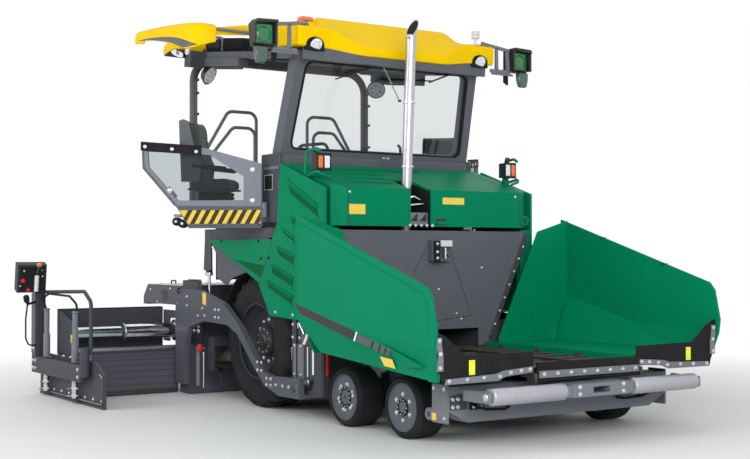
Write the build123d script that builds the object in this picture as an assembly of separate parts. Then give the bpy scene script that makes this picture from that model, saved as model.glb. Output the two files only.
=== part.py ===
from build123d import *
import os
from math import cos, hypot, pi, radians, sin

# Asphalt paver on wheels, millimetres. X points forward, Y to the machine's left, Z up.
# Lengths along X below are measured from the rear axle; ORIGIN_X moves the finished
# model so that its origin lies on the ground, midway between its front and rear ends.

# Overall reach
FRONT_REACH = 3780
REAR_REACH = 2600
ORIGIN_X = (REAR_REACH - FRONT_REACH) / 2

# Clearances
PIN_GAP = 0.05
SEAT_GAP = 0.3
SLIDE_GAP = 0.08
MOVING_GAP = 10

# Wheels
REAR_TYRE_R = 683
REAR_TYRE_W = 385
REAR_RIM_R = 392
REAR_FACE_Y = 1245
FRONT_FACE_Y = 1275
FRONT_TYRE_R = 270
FRONT_TYRE_W = 300
FRONT_DISC_R = 208
FRONT_AXLES_X = (1720, 2640)
KINGPIN_Y = 860
KINGPIN_R = 22
STUB_R = 40
REAR_STUB_R = 75

# Chassis and conveyor tunnel
TUNNEL_HALF = 540
TUNNEL_PLATE = 40
CHASSIS_REAR_X = -620
CHASSIS_MID_X = 1440
CHASSIS_HALF = 800
BELLY_Z = 330
FLOOR_Z = 640
TUNNEL_TOP_Z = 835
CHASSIS_TOP_Z = 1000
CONVEYOR_REAR_X = -780
CONVEYOR_FRONT_X = 3520
SLAT_PITCH = 230
SLAT_W = 40
SLAT_H = 14

# Front beam and push rollers
BEAM_X = (3080, 3280)
TOW_EYE_X = 3032
TOW_EYE_Z = 259
BEAM_Z = (196, 500)
BEAM_HALF = 1270
TOW_EYE_R = 52
TOW_EYE_HOLE_R = 22
ROLLER_X = 3710
ROLLER_Z = 450
ROLLER_R = 70
ROLLER_INNER_Y = 390
ROLLER_LENGTH = 780
ROLLER_PIN_R = 24
BAR_PIVOT_X = 3420
BAR_PIVOT_R = 40

# Hopper
WING_FACE_Y = 1630
WING_SKIN = 15
WING_REAR_X = 1565
WING_HINGE_Y = 645
WING_HINGE_Z = 655
WING_SLOTS = ((2100, 1735), (2930, 1475))
WING_LUGS_X = (1760, 2300, 2850)
HINGE_PIN_R = 12
HINGE_BARREL_R = 22
WALL_X = 1440
WALL_T = 20
WALL_TOP_Z = 1812
WALL_TOP_HALF = 1165
WALL_LOW_Z = 735
WALL_LOW_HALF = 650
APRON_X = 3560
APRON_T = 14
FLAP_X = 3592
FLAP_T = 22
FLAP_HALF = 590
FLAP_Z = (556, 690)
FLAP_HINGE_Z = 540

# Engine bay and hood
ENGINE_X = (520, 1280)
ENGINE_HALF = 480
ENGINE_TOP_Z = 1790
HOOD_FRONT_X = 1463
HOOD_REAR_X = 520
HOOD_LOW_Z = 1850
HOOD_FRONT_TOP_Z = 2215
HOOD_REAR_TOP_Z = 2490
HOOD_HALF = 1200
HOOD_CORNER_Y = 1070
HOOD_CORNER_X = 1370
HOOD_SKIN = 20
HOOD_SLOT_Y = -205
HOOD_SLOT_HALF = 123
HOOD_SLOT_REAR_X = 1060
LOUVRE_W = 24
HOOD_LOUVRES = ((700, -735, 310), (878, -785, -280), (1056, -835, -345), (1234, -890, -395))
HOOD_HINGE = (494, 2460)
HOOD_HINGE_R = 12
EXHAUST_X = 1300
EXHAUST_LEAN = 110
EXHAUST_R = 56
EXHAUST_TOP_Z = 3910
SIDE_T = 30
VENT_DEPTH = 14

# Platform
DECK_X = (-1750, 420)
DECK_Z = (1900, 1950)
BASE_X = (-1100, 400)
BASE_Z = (1745, 1850)
BASE_HALF = 1255
DECK_HALF = BASE_HALF - 40
SIDE_FACE_Y = BASE_HALF + 30
RAIL_R = 19
RAIL_OUT_Y = 1095
RAIL_BEND = 100
RAIL_HOOPS = ((-1640, 350, 370, 3240, 2620), (-1580, 400, 290, 3050, 2560))

# Windshield, leaning forward: bottom and top centre points of its outer face
SHIELD_LOW = (398, 2593)
SHIELD_HIGH = (648, 3521)
SHIELD_LOW_HALF = 1195
SHIELD_TOP_HALF = 1135
SHIELD_BAR = 100
SHIELD_DEPTH = 150
GLASS_T = 8

# Roof, tilted up towards the rear about the front posts' head
ROOF_TILT = 7.0
ROOF_PIVOT = (600, 3560)
AWNING_X = (-1110, 320)
AWNING_OUT_Y = 2120
AWNING_IN_Y = 1560
POST_X = -1630
POST_Y = SHIELD_TOP_HALF + 35
POST_R = 45
POST_BEND = 250
AWNING_DEPTH = 240
AWNING_SKIN = 22
AWNING_TOP = ((320, 262), (-100, 262), (-500, 262), (-800, 250), (-1000, 226), (-1110, 200))
AWNING_FACE = ((320, 235), (-100, 240), (-500, 240), (-800, 228), (-1000, 205), (-1110, 180), (-1110, 55),
               (-800, 70), (-550, 60), (-280, 32), (-100, 5), (80, -25), (320, 0))

# Roof shells as (x, z) from the roof's pivot, or from the rear posts for the rear one
SHELL_HALF = 1240
SHELL_FLANK_Y = (640, 900)
SHELL_MIDDLE = ((-200, 50), (-110, 50), (315, 10), (330, 70), (75, 230), (-180, 389), (-300, 375))
SHELL_END = ((-200, 50), (-110, 50), (205, 5), (215, 60), (215, 240), (-100, 250), (-200, 250))
REAR_SHELL_HALF = 1420
REAR_SHELL = ((110, 50), (-60, 50), (-290, 0), (-330, 15), (-330, 90), (-270, 140), (110, 190))

# Seat consoles, swung out about a post at their front end
CONSOLE_PIVOT = (190, BASE_HALF + 7)
CONSOLE_PIN_R = 20
CONSOLE_SWING = 46.0
CONSOLE_FLOOR_Z = 1965
CONSOLE_REACH = 950
# Console outlines as (x from the pivot, z)
CONSOLE_PANEL = ((-5, 2063), (-5, 2500), (-620, 2670), (-1290, 2722), (-1280, 2465), (-935, 2075))
CONSOLE_WINDOW = ((-200, 2130), (-200, 2370), (-560, 2595), (-1225, 2640), (-1215, 2480), (-900, 2130))
CONSOLE_PLATE = ((-60, 1872), (-60, 1960), (0, 1960), (0, 2046), (-900, 2046), (-790, 1872))
SEAT_STAND_H = 275
SEAT_T = 120
SEAT_REACH = (380, 860)

# Screed
TOW_X = 980
TOW_Z = 290
TOW_PIN_R = 30
ARM_Y = (1295, 1355)
ARM_OUTLINE = ((-1560, 1190), (-1105, 1183), (-507, 1050), (-169, 844), (303, 414), (508, 370),
               (1060, 388), (1060, 190), (668, 187), (366, 269), (50, 527), (-212, 748), (-438, 831),
               (-980, 849), (-1353, 765), (-1454, 558), (-1454, 120), (-1700, 120), (-1700, 1000))
SCREED_FRONT_X = -1500
SCREED_DEPTH = 240
SCREED_HALF = 1275
COVER_X = (-2480, -1550)
COVER_TOP_Z = 1220
COVER_HALF = 1350
EXT_FRONT_X = -1765
EXT_REAR_X = -2200
EXT_OUT_Y = 2550
EXT_IN_Y = 1285
EXT_TOP_Z = 500
TUBE_X = -1870
TUBE_Z = 705
TUBE_BIG_R = 85
TUBE_SMALL_R = 66
GATE_Y = (2600, 2625)
GATE_X = (50 - REAR_REACH, -660)
AUGER_X = -1100
AUGER_Z = 350
AUGER_R = 195
AUGER_SHAFT_R = 40
AUGER_Y = (85, 1180)
AUGER_PITCH = 360
LIFT_TOP = (-1170, 1700)
LIFT_EYE = (-1150, 1030)
LIFT_Y = 1200
LIFT_PIN_R = 15


def box(x0, x1, y0, y1, z0, z1):
    """A block between two corners, in any order."""
    size = (abs(x1 - x0), abs(y1 - y0), abs(z1 - z0))
    return Pos((x0 + x1) / 2, (y0 + y1) / 2, (z0 + z1) / 2) * Solid.make_box(*size).moved(
        Location((-size[0] / 2, -size[1] / 2, -size[2] / 2)))


def plate(points, push):
    """A flat polygon of points in space, pushed along a vector."""
    return Solid.extrude(Face(Wire.make_polygon([Vector(*p) for p in points])), Vector(*push))


def side_plate(points, y0, y1):
    """An outline of (x, z) points between two Y planes."""
    return plate([(x, y0, z) for x, z in points], (0, y1 - y0, 0))


def cross_plate(points, x0, x1):
    """An outline of (y, z) points between two X planes."""
    return plate([(x0, y, z) for y, z in points], (x1 - x0, 0, 0))


def floor_plate(points, z0, z1):
    """An outline of (x, y) points between two Z planes."""
    return plate([(x, y, z0) for x, y in points], (0, 0, z1 - z0))


def rod(start, end, radius):
    """A round bar between two points."""
    a, b = Vector(*start), Vector(*end)
    return Solid.make_cylinder(radius, (b - a).length, Plane(origin=a, z_dir=(b - a)))


def ring_y(x, z, y0, y1, outer, inner):
    """A round collar along Y."""
    return rod((x, y0, z), (x, y1, z), outer).cut(rod((x, y0, z), (x, y1, z), inner))


def bent_tube(points, radius, bend):
    """A round tube along straight runs joined by arcs."""
    path = FilletPolyline(*points, radius=bend)
    section = Plane(origin=path @ 0, z_dir=path % 0) * Circle(radius)
    return sweep(section, path=path).solid()


def turned(profile):
    """A solid of revolution about Y from (radius, y) points."""
    face = Face(Wire.make_polygon([Vector(r, y, 0) for r, y in profile]))
    return Solid.revolve(face, 360, Axis.Y)


def union(pieces):
    """Pieces joined to one shape, or a compound where they lie apart."""
    joined = pieces[0].fuse(*pieces[1:]) if len(pieces) > 1 else pieces[0]
    return Compound(joined) if isinstance(joined, list) else joined


def minus(body, *tools):
    """A body with tools cut out of it."""
    left = body.cut(*tools)
    return Compound(left) if isinstance(left, list) else left


def shared(body, tool):
    """The space that two solids share."""
    both = body.intersect(tool)
    return both[0] if isinstance(both, list) else both


def mirrored(shape):
    """The same piece on the other side of the machine."""
    return shape.mirror(Plane.XZ)


def save(name, shape):
    """Write one node in the finished frame."""
    export_step(Pos(ORIGIN_X, 0, 0) * shape, f"parts/{name}.step")


# Wheels

def rear_wheel():
    """Drive tyre, rim and hub as one turned solid, with its axle bore."""
    tyre_out, tyre_in = REAR_TYRE_W / 2, -REAR_TYRE_W / 2
    tread = REAR_TYRE_R
    shoulder = tread - 55
    profile = (
        (REAR_STUB_R + PIN_GAP, tyre_in + 60),
        (REAR_RIM_R - 90, tyre_in + 60),
        (REAR_RIM_R - 20, tyre_in + 14),
        (REAR_RIM_R + 20, tyre_in + 10),
        (REAR_RIM_R + 110, tyre_in),
        (shoulder, tyre_in + 12),
        (tread - 12, tyre_in + 45),
        (tread, tyre_in + 100),
        (tread, tyre_out - 100),
        (tread - 12, tyre_out - 45),
        (shoulder, tyre_out - 12),
        (REAR_RIM_R + 110, tyre_out),
        (REAR_RIM_R + 20, tyre_out - 10),
        (REAR_RIM_R, tyre_out - 14),
        (REAR_RIM_R - 25, tyre_out - 30),
        (REAR_RIM_R - 45, tyre_out - 110),
        (REAR_RIM_R - 110, tyre_out - 140),
        (170, tyre_out - 150),
        (150, tyre_out - 90),
        (REAR_STUB_R + 30, tyre_out - 80),
        (REAR_STUB_R + PIN_GAP, tyre_out - 80),
    )
    return turned(profile)


def front_wheel():
    """Solid-tyred front wheel with its disc set a little inside the tyre."""
    out, inner = FRONT_TYRE_W / 2, -FRONT_TYRE_W / 2
    profile = (
        (STUB_R + PIN_GAP, inner + 40),
        (FRONT_DISC_R, inner + 40),
        (FRONT_DISC_R + 8, inner + 12),
        (FRONT_TYRE_R - 22, inner),
        (FRONT_TYRE_R, inner + 24),
        (FRONT_TYRE_R, out - 24),
        (FRONT_TYRE_R - 22, out),
        (FRONT_DISC_R + 8, out - 8),
        (FRONT_DISC_R, out - 22),
        (90, out - 22),
        (80, out - 12),
        (STUB_R + PIN_GAP, out - 12),
    )
    return turned(profile)


def make_wheels():
    """Two drive wheels and four steered wheels."""
    rear_y = REAR_FACE_Y - REAR_TYRE_W / 2
    right = Pos(0, -rear_y, REAR_TYRE_R) * mirrored(rear_wheel())
    save("rear_wheel_right", right)
    save("rear_wheel_left", mirrored(right))
    front_y = FRONT_FACE_Y - FRONT_TYRE_W / 2
    for row, x in zip(("aft", "fore"), FRONT_AXLES_X):
        wheel = Pos(x, -front_y, FRONT_TYRE_R) * mirrored(front_wheel())
        save(f"front_wheel_{row}_right", wheel)
        save(f"front_wheel_{row}_left", mirrored(wheel))


def knuckle(x):
    """Steering knuckle on the right: a block on the kingpin and a stub for the wheel."""
    y = -KINGPIN_Y
    z = FRONT_TYRE_R
    half = 62
    block = box(x - 48, x + 48, y - 48, y + 48, z - half, z + half)
    wheel_in = -(FRONT_FACE_Y - FRONT_TYRE_W + 40)
    flange = rod((x, y - 47, z), (x, wheel_in + 1, z), 60)
    wheel_out = -(FRONT_FACE_Y - 20)
    stub = rod((x, y, z), (x, wheel_out, z), STUB_R)
    bore = rod((x, y, z - half), (x, y, z + half), KINGPIN_R + PIN_GAP)
    return minus(union([block, flange, stub]), bore)


def make_knuckles():
    """Four knuckles, one inside each front wheel."""
    for row, x in zip(("aft", "fore"), FRONT_AXLES_X):
        piece = knuckle(x)
        save(f"knuckle_{row}_right", piece)
        save(f"knuckle_{row}_left", mirrored(piece))


# Chassis

def bogie():
    """Right bogie beam with a fork and kingpin at each end."""
    aft, fore = FRONT_AXLES_X
    z = FRONT_TYRE_R
    pieces = [box(aft - 70, fore + 70, -780, -700, z - 60, z + 110)]
    pieces.append(box((aft + fore) / 2 - 110, (aft + fore) / 2 + 110, -705, -TUNNEL_HALF - 20, z + 20,
                      z + 110))
    for x in FRONT_AXLES_X:
        for low in (z - 110, z + 62 + 1):
            pieces.append(box(x - 45, x + 45, -KINGPIN_Y, -700, low, low + 47))
            pieces.append(rod((x, -KINGPIN_Y, low), (x, -KINGPIN_Y, low + 47), 45))
        pieces.append(box(x - 45, x + 45, -740, -700, z - 110, z + 110))
        pieces.append(rod((x, -KINGPIN_Y, z - 105), (x, -KINGPIN_Y, z + 105), KINGPIN_R))
    return union(pieces)


def tow_frame():
    """Right guide frame for the screed arm, between the rear and front wheels."""
    frame = union([
        box(760, 1310, -1255, -1225, 225, 950),
        box(800, 1300, -1230, -CHASSIS_HALF + 5, 420, 900),
    ])
    pin = rod((TOW_X, -1250, TOW_Z), (TOW_X, -ARM_Y[1] - 12, TOW_Z), TOW_PIN_R)
    return union([frame, pin])


def auger_hanger():
    """Gear case behind the tractor, and the beam and hangers of the augers' outer ends."""
    case = box(AUGER_X - 90, CHASSIS_REAR_X + 5, -60, 60, 200, FLOOR_Z - 70)
    beam = box(AUGER_X - 60, AUGER_X + 60, -AUGER_Y[1] - 30, AUGER_Y[1] + 30, 565, 665)
    tie = box(AUGER_X - 60, CHASSIS_REAR_X + 5, -40, 40, 560, 590)
    posts = [box(AUGER_X - 60, CHASSIS_REAR_X + 5, y - 25, y + 25, 600, 660) for y in (-700, 700)]
    hangers = []
    pins = []
    for side in (-1, 1):
        y0 = side * (AUGER_Y[1] + 5)
        y1 = side * (AUGER_Y[1] + 30)
        hangers.append(box(AUGER_X - 60, AUGER_X + 60, y0, y1, AUGER_Z - 60, 600))
        pins.append(rod((AUGER_X, y1, AUGER_Z), (AUGER_X, side * (AUGER_Y[1] - 60), AUGER_Z), 18))
        pins.append(rod((AUGER_X, 0, AUGER_Z), (AUGER_X, side * (AUGER_Y[0] + 60), AUGER_Z), 18))
    return union([case, beam, tie] + posts + hangers + pins)


def make_chassis():
    """Frame of the tractor: tunnel plates, side boxes, axle, bogies and tow frames."""
    outer = TUNNEL_HALF + TUNNEL_PLATE
    pieces = [
        box(CHASSIS_REAR_X, CHASSIS_MID_X, -CHASSIS_HALF, CHASSIS_HALF, BELLY_Z, CHASSIS_TOP_Z),
        box(CHASSIS_MID_X - 10, BEAM_X[0], -outer, outer, BELLY_Z, FLOOR_Z - 10),
    ]
    hollow = box(CHASSIS_REAR_X - 10, BEAM_X[0] + 10, -TUNNEL_HALF, TUNNEL_HALF,
                 BELLY_Z + 30, TUNNEL_TOP_Z)
    frame = minus(union(pieces), hollow)
    hub_in = REAR_FACE_Y - REAR_TYRE_W + 60
    axle = rod((0, -TUNNEL_HALF - 5, REAR_TYRE_R), (0, -REAR_FACE_Y + 85, REAR_TYRE_R), REAR_STUB_R)
    drum = rod((0, -CHASSIS_HALF + 5, REAR_TYRE_R), (0, -hub_in + 5, REAR_TYRE_R), 190)
    right = [bogie(), tow_frame(), drum, axle]
    lugs = []
    for x in WING_LUGS_X:
        lugs.append(box(x - 30, x + 30, -WING_HINGE_Y - 20, -TUNNEL_HALF - 20, 590, WING_HINGE_Z + 18))
    lugs.append(rod((1700, -WING_HINGE_Y, WING_HINGE_Z), (2910, -WING_HINGE_Y, WING_HINGE_Z), HINGE_PIN_R))
    right += lugs
    ends = box(BEAM_X[0] - 30, BEAM_X[0], -outer, outer, BELLY_Z, 500)
    left = [mirrored(piece) for piece in right]
    save("chassis", union([frame, ends, auger_hanger()] + right + left))


def make_conveyor():
    """Two-lane conveyor floor with its slats, from the hopper to the rear outlet."""
    floor_box = box(CONVEYOR_REAR_X, CONVEYOR_FRONT_X, -TUNNEL_HALF, TUNNEL_HALF,
                    FLOOR_Z - 40, FLOOR_Z)
    divider = box(CONVEYOR_REAR_X, CONVEYOR_FRONT_X - 60, -20, 20, FLOOR_Z - 5, FLOOR_Z + 30)
    slats = []
    count = int((CONVEYOR_FRONT_X - CONVEYOR_REAR_X - 160) / SLAT_PITCH)
    for i in range(count):
        x = CONVEYOR_REAR_X + 80 + i * SLAT_PITCH
        slats.append(box(x, x + SLAT_W, -TUNNEL_HALF + 20, TUNNEL_HALF - 20, FLOOR_Z - 5, FLOOR_Z + SLAT_H))
    lip = box(CONVEYOR_FRONT_X - 80, CONVEYOR_FRONT_X, -FLAP_HALF - 30, FLAP_HALF + 30, FLOOR_Z - 80,
              FLOOR_Z - 35)
    hinges = []
    for side in (-1, 1):
        y0, y1 = side * (FLAP_HALF + 5), side * (FLAP_HALF + 30)
        hinges.append(box(CONVEYOR_FRONT_X - 5, FLAP_X + 28, y0, y1, FLAP_HINGE_Z - 16, FLOOR_Z - 40))
        hinges.append(rod((FLAP_X + 11, y1, FLAP_HINGE_Z),
                          (FLAP_X + 11, side * (FLAP_HALF - 40), FLAP_HINGE_Z), 8))
    save("conveyor", union([floor_box, divider, lip] + slats + hinges))


def make_front_beam():
    """Cross beam under the hopper's front, with end plates and towing eyes."""
    x0, x1 = BEAM_X
    low, high = BEAM_Z
    section = ((-BEAM_HALF, low + 110), (-1050, low), (1050, low), (BEAM_HALF, low + 110),
               (BEAM_HALF, high), (-BEAM_HALF, high))
    pieces = [cross_plate(section, x0, x1)]
    for side in (-1, 1):
        pieces.append(box(x0, x1, side * (BEAM_HALF - 20), side * BEAM_HALF, low, high + 20))
        y0, y1 = side * (BEAM_HALF - 30), side * BEAM_HALF
        pieces.append(box(TOW_EYE_X, x0 + 5, y0, y1, TOW_EYE_Z - TOW_EYE_R, TOW_EYE_Z + TOW_EYE_R))
        pieces.append(rod((TOW_EYE_X, y0, TOW_EYE_Z), (TOW_EYE_X, y1, TOW_EYE_Z), TOW_EYE_R))
    head = box(x1 - 5, BAR_PIVOT_X + 60, -160, 160, 365, 385)
    pin = rod((BAR_PIVOT_X, 0, 370), (BAR_PIVOT_X, 0, 520), BAR_PIVOT_R)
    body = union(pieces + [head, pin])
    holes = [rod((TOW_EYE_X, side * (BEAM_HALF - 60), TOW_EYE_Z),
                 (TOW_EYE_X, side * (BEAM_HALF + 30), TOW_EYE_Z), TOW_EYE_HOLE_R) for side in (-1, 1)]
    save("front_beam", minus(body, *holes))


def make_push_bar():
    """Oscillating bar with a centre hub, end brackets and two rollers."""
    hub = box(BAR_PIVOT_X - 60, ROLLER_X + 45, -330, 330, 395, 505)
    window = box(ROLLER_X - 110, ROLLER_X + 60, -95, 95, 425, 475)
    beam = box(BAR_PIVOT_X - 10, BAR_PIVOT_X + 90, -1200, 1200, 400, 480)
    pieces = [hub, beam]
    outer = ROLLER_INNER_Y + ROLLER_LENGTH
    for side in (-1, 1):
        pieces.append(box(BAR_PIVOT_X, ROLLER_X + 35, side * (outer + MOVING_GAP), side * (outer + 45),
                          400, 490))
        pieces.append(box(BAR_PIVOT_X, BAR_PIVOT_X + 90, side * 1150, side * (outer + 45), 400, 480))
        pieces.append(box(BAR_PIVOT_X + 60, ROLLER_X + 40, side * 300, side * (ROLLER_INNER_Y - MOVING_GAP),
                          405, 495))
        pieces.append(rod((ROLLER_X, side * 340, ROLLER_Z), (ROLLER_X, side * (outer + 40), ROLLER_Z),
                          ROLLER_PIN_R))
    bore = rod((BAR_PIVOT_X, 0, 380), (BAR_PIVOT_X, 0, 530), BAR_PIVOT_R + PIN_GAP)
    save("push_bar", minus(union(pieces), bore, window))
    for side, name in ((-1, "right"), (1, "left")):
        y0, y1 = side * ROLLER_INNER_Y, side * outer
        save(f"push_roller_{name}", ring_y(ROLLER_X, ROLLER_Z, y0, y1, ROLLER_R, ROLLER_PIN_R + PIN_GAP))


# Hopper

def wing():
    """Right hopper wing: side panel with an inward lower band, floor, rear wall and chamfers."""
    face, skin = -WING_FACE_Y, WING_SKIN
    slope = 0.0714
    crease_front_z, crease_front_x = 840, 3600
    crease_rear_x = 1490
    crease_rear_z = crease_front_z + slope * (crease_front_x - crease_rear_x)
    side = side_plate(
        ((1480, 1945), (3500, 1320), (3560, 1250), (3620, 980), (crease_front_x, crease_front_z),
         (crease_rear_x, crease_rear_z)), face, face + skin)
    low_front = (3540, 575)
    low_rear_x = 1800
    low_rear = (low_rear_x, low_front[1] + slope * (low_front[0] - low_rear_x))
    inset = 60
    band = plate(((crease_front_x, face, crease_front_z), (crease_rear_x, face, crease_rear_z),
                  (low_rear[0], face + inset, low_rear[1]), (low_front[0], face + inset, low_front[1])),
                 (0, skin, 0))
    floor_z = WING_HINGE_Z + 20
    floor = floor_plate(((WING_REAR_X, -WING_HINGE_Y - 8), (3480, -WING_HINGE_Y - 8), (3480, -1585),
                         (3150, -1585), (1640, -1400), (WING_REAR_X, -1400)), floor_z, floor_z + skin)
    top_rear = (WING_REAR_X + 5, face + 5, 1175)
    top_front = (3420, face + 5, 700)
    foot_rear = (1640, -1395, floor_z + 2)
    along = [f - r for f, r in zip(top_front, top_rear)]
    down = [f - r for f, r in zip(foot_rear, top_rear)]
    normal = (along[1] * down[2] - along[2] * down[1], along[2] * down[0] - along[0] * down[2],
              along[0] * down[1] - along[1] * down[0])
    foot_front_x = 3200
    reach = normal[0] * (foot_front_x - top_rear[0]) + normal[2] * (foot_rear[2] - top_rear[2])
    foot_front = (foot_front_x, top_rear[1] - reach / normal[1], foot_rear[2])
    chamfer = plate((top_rear, top_front, foot_front, foot_rear), (0, -2, -skin))
    rear_outline = ((-WALL_LOW_HALF - 40, 690), (-WALL_LOW_HALF - 40, WALL_LOW_Z),
                    (-WALL_TOP_HALF - 45, WALL_TOP_Z), (face + 5, 1930), (face + 5, 1000),
                    (-1500, floor_z), (-900, floor_z))
    rear_wall = cross_plate(rear_outline, WING_REAR_X, WING_REAR_X + skin)
    barrels = []
    for x0, x1 in ((1800, 2260), (2340, 2810)):
        tube = rod((x0, -WING_HINGE_Y, WING_HINGE_Z), (x1, -WING_HINGE_Y, WING_HINGE_Z), HINGE_BARREL_R)
        barrels.append(tube)
    bore = rod((1600, -WING_HINGE_Y, WING_HINGE_Z), (3100, -WING_HINGE_Y, WING_HINGE_Z),
               HINGE_PIN_R + PIN_GAP)
    slots = [box(x - 40, x + 40, face - 5, face + skin + 5, z - 12, z + 12) for x, z in WING_SLOTS]
    clear = [box(x - 40, x + 40, -WING_HINGE_Y - 60, -WING_HINGE_Y + 60, 560, WING_HINGE_Z + 28)
             for x in WING_LUGS_X]
    body = union([side, band, floor, chamfer, rear_wall] + barrels)
    return minus(body, bore, *slots, *clear)


def apron():
    """Right rubber apron plate that closes the front of the wing."""
    outline = ((-1615, 984), (-1500, 933), (-1310, 784), (-600, 776), (-600, 653), (-900, 636),
               (-960, 590), (-1530, 556), (-1548, 620), (-1602, 850), (-1615, 860))
    return cross_plate(outline, APRON_X, APRON_X + APRON_T)


def make_hopper():
    """Bulkhead, two wings with their aprons, and the centre flap."""
    outline = ((-WALL_LOW_HALF, 655), (-WALL_LOW_HALF, WALL_LOW_Z), (-WALL_TOP_HALF, WALL_TOP_Z),
               (WALL_TOP_HALF, WALL_TOP_Z), (WALL_LOW_HALF, WALL_LOW_Z), (WALL_LOW_HALF, 655))
    wall = cross_plate(outline, WALL_X, WALL_X + WALL_T)
    opening = box(WALL_X - 5, WALL_X + WALL_T + 5, -TUNNEL_HALF + 20, TUNNEL_HALF - 20, 600, TUNNEL_TOP_Z)
    latch = box(WALL_X + WALL_T - 2, WALL_X + 90, -120, 110, 1510, 1715)
    save("hopper_wall", union([minus(wall, opening), latch]))
    right = wing()
    save("wing_right", right)
    save("wing_left", mirrored(right))
    cover = apron()
    save("apron_right", cover)
    save("apron_left", mirrored(cover))
    flap = box(FLAP_X, FLAP_X + FLAP_T, -FLAP_HALF, FLAP_HALF, FLAP_Z[0], FLAP_Z[1])
    barrel = rod((FLAP_X + 11, -FLAP_HALF, FLAP_HINGE_Z), (FLAP_X + 11, FLAP_HALF, FLAP_HINGE_Z), 16)
    neck = box(FLAP_X + 3, FLAP_X + 19, -FLAP_HALF, FLAP_HALF, FLAP_HINGE_Z, FLAP_Z[0] + 5)
    bore = rod((FLAP_X + 11, -FLAP_HALF - 5, FLAP_HINGE_Z), (FLAP_X + 11, FLAP_HALF + 5, FLAP_HINGE_Z),
               8 + PIN_GAP)
    save("front_flap", minus(union([flap, barrel, neck]), bore))


# Engine bay

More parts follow.
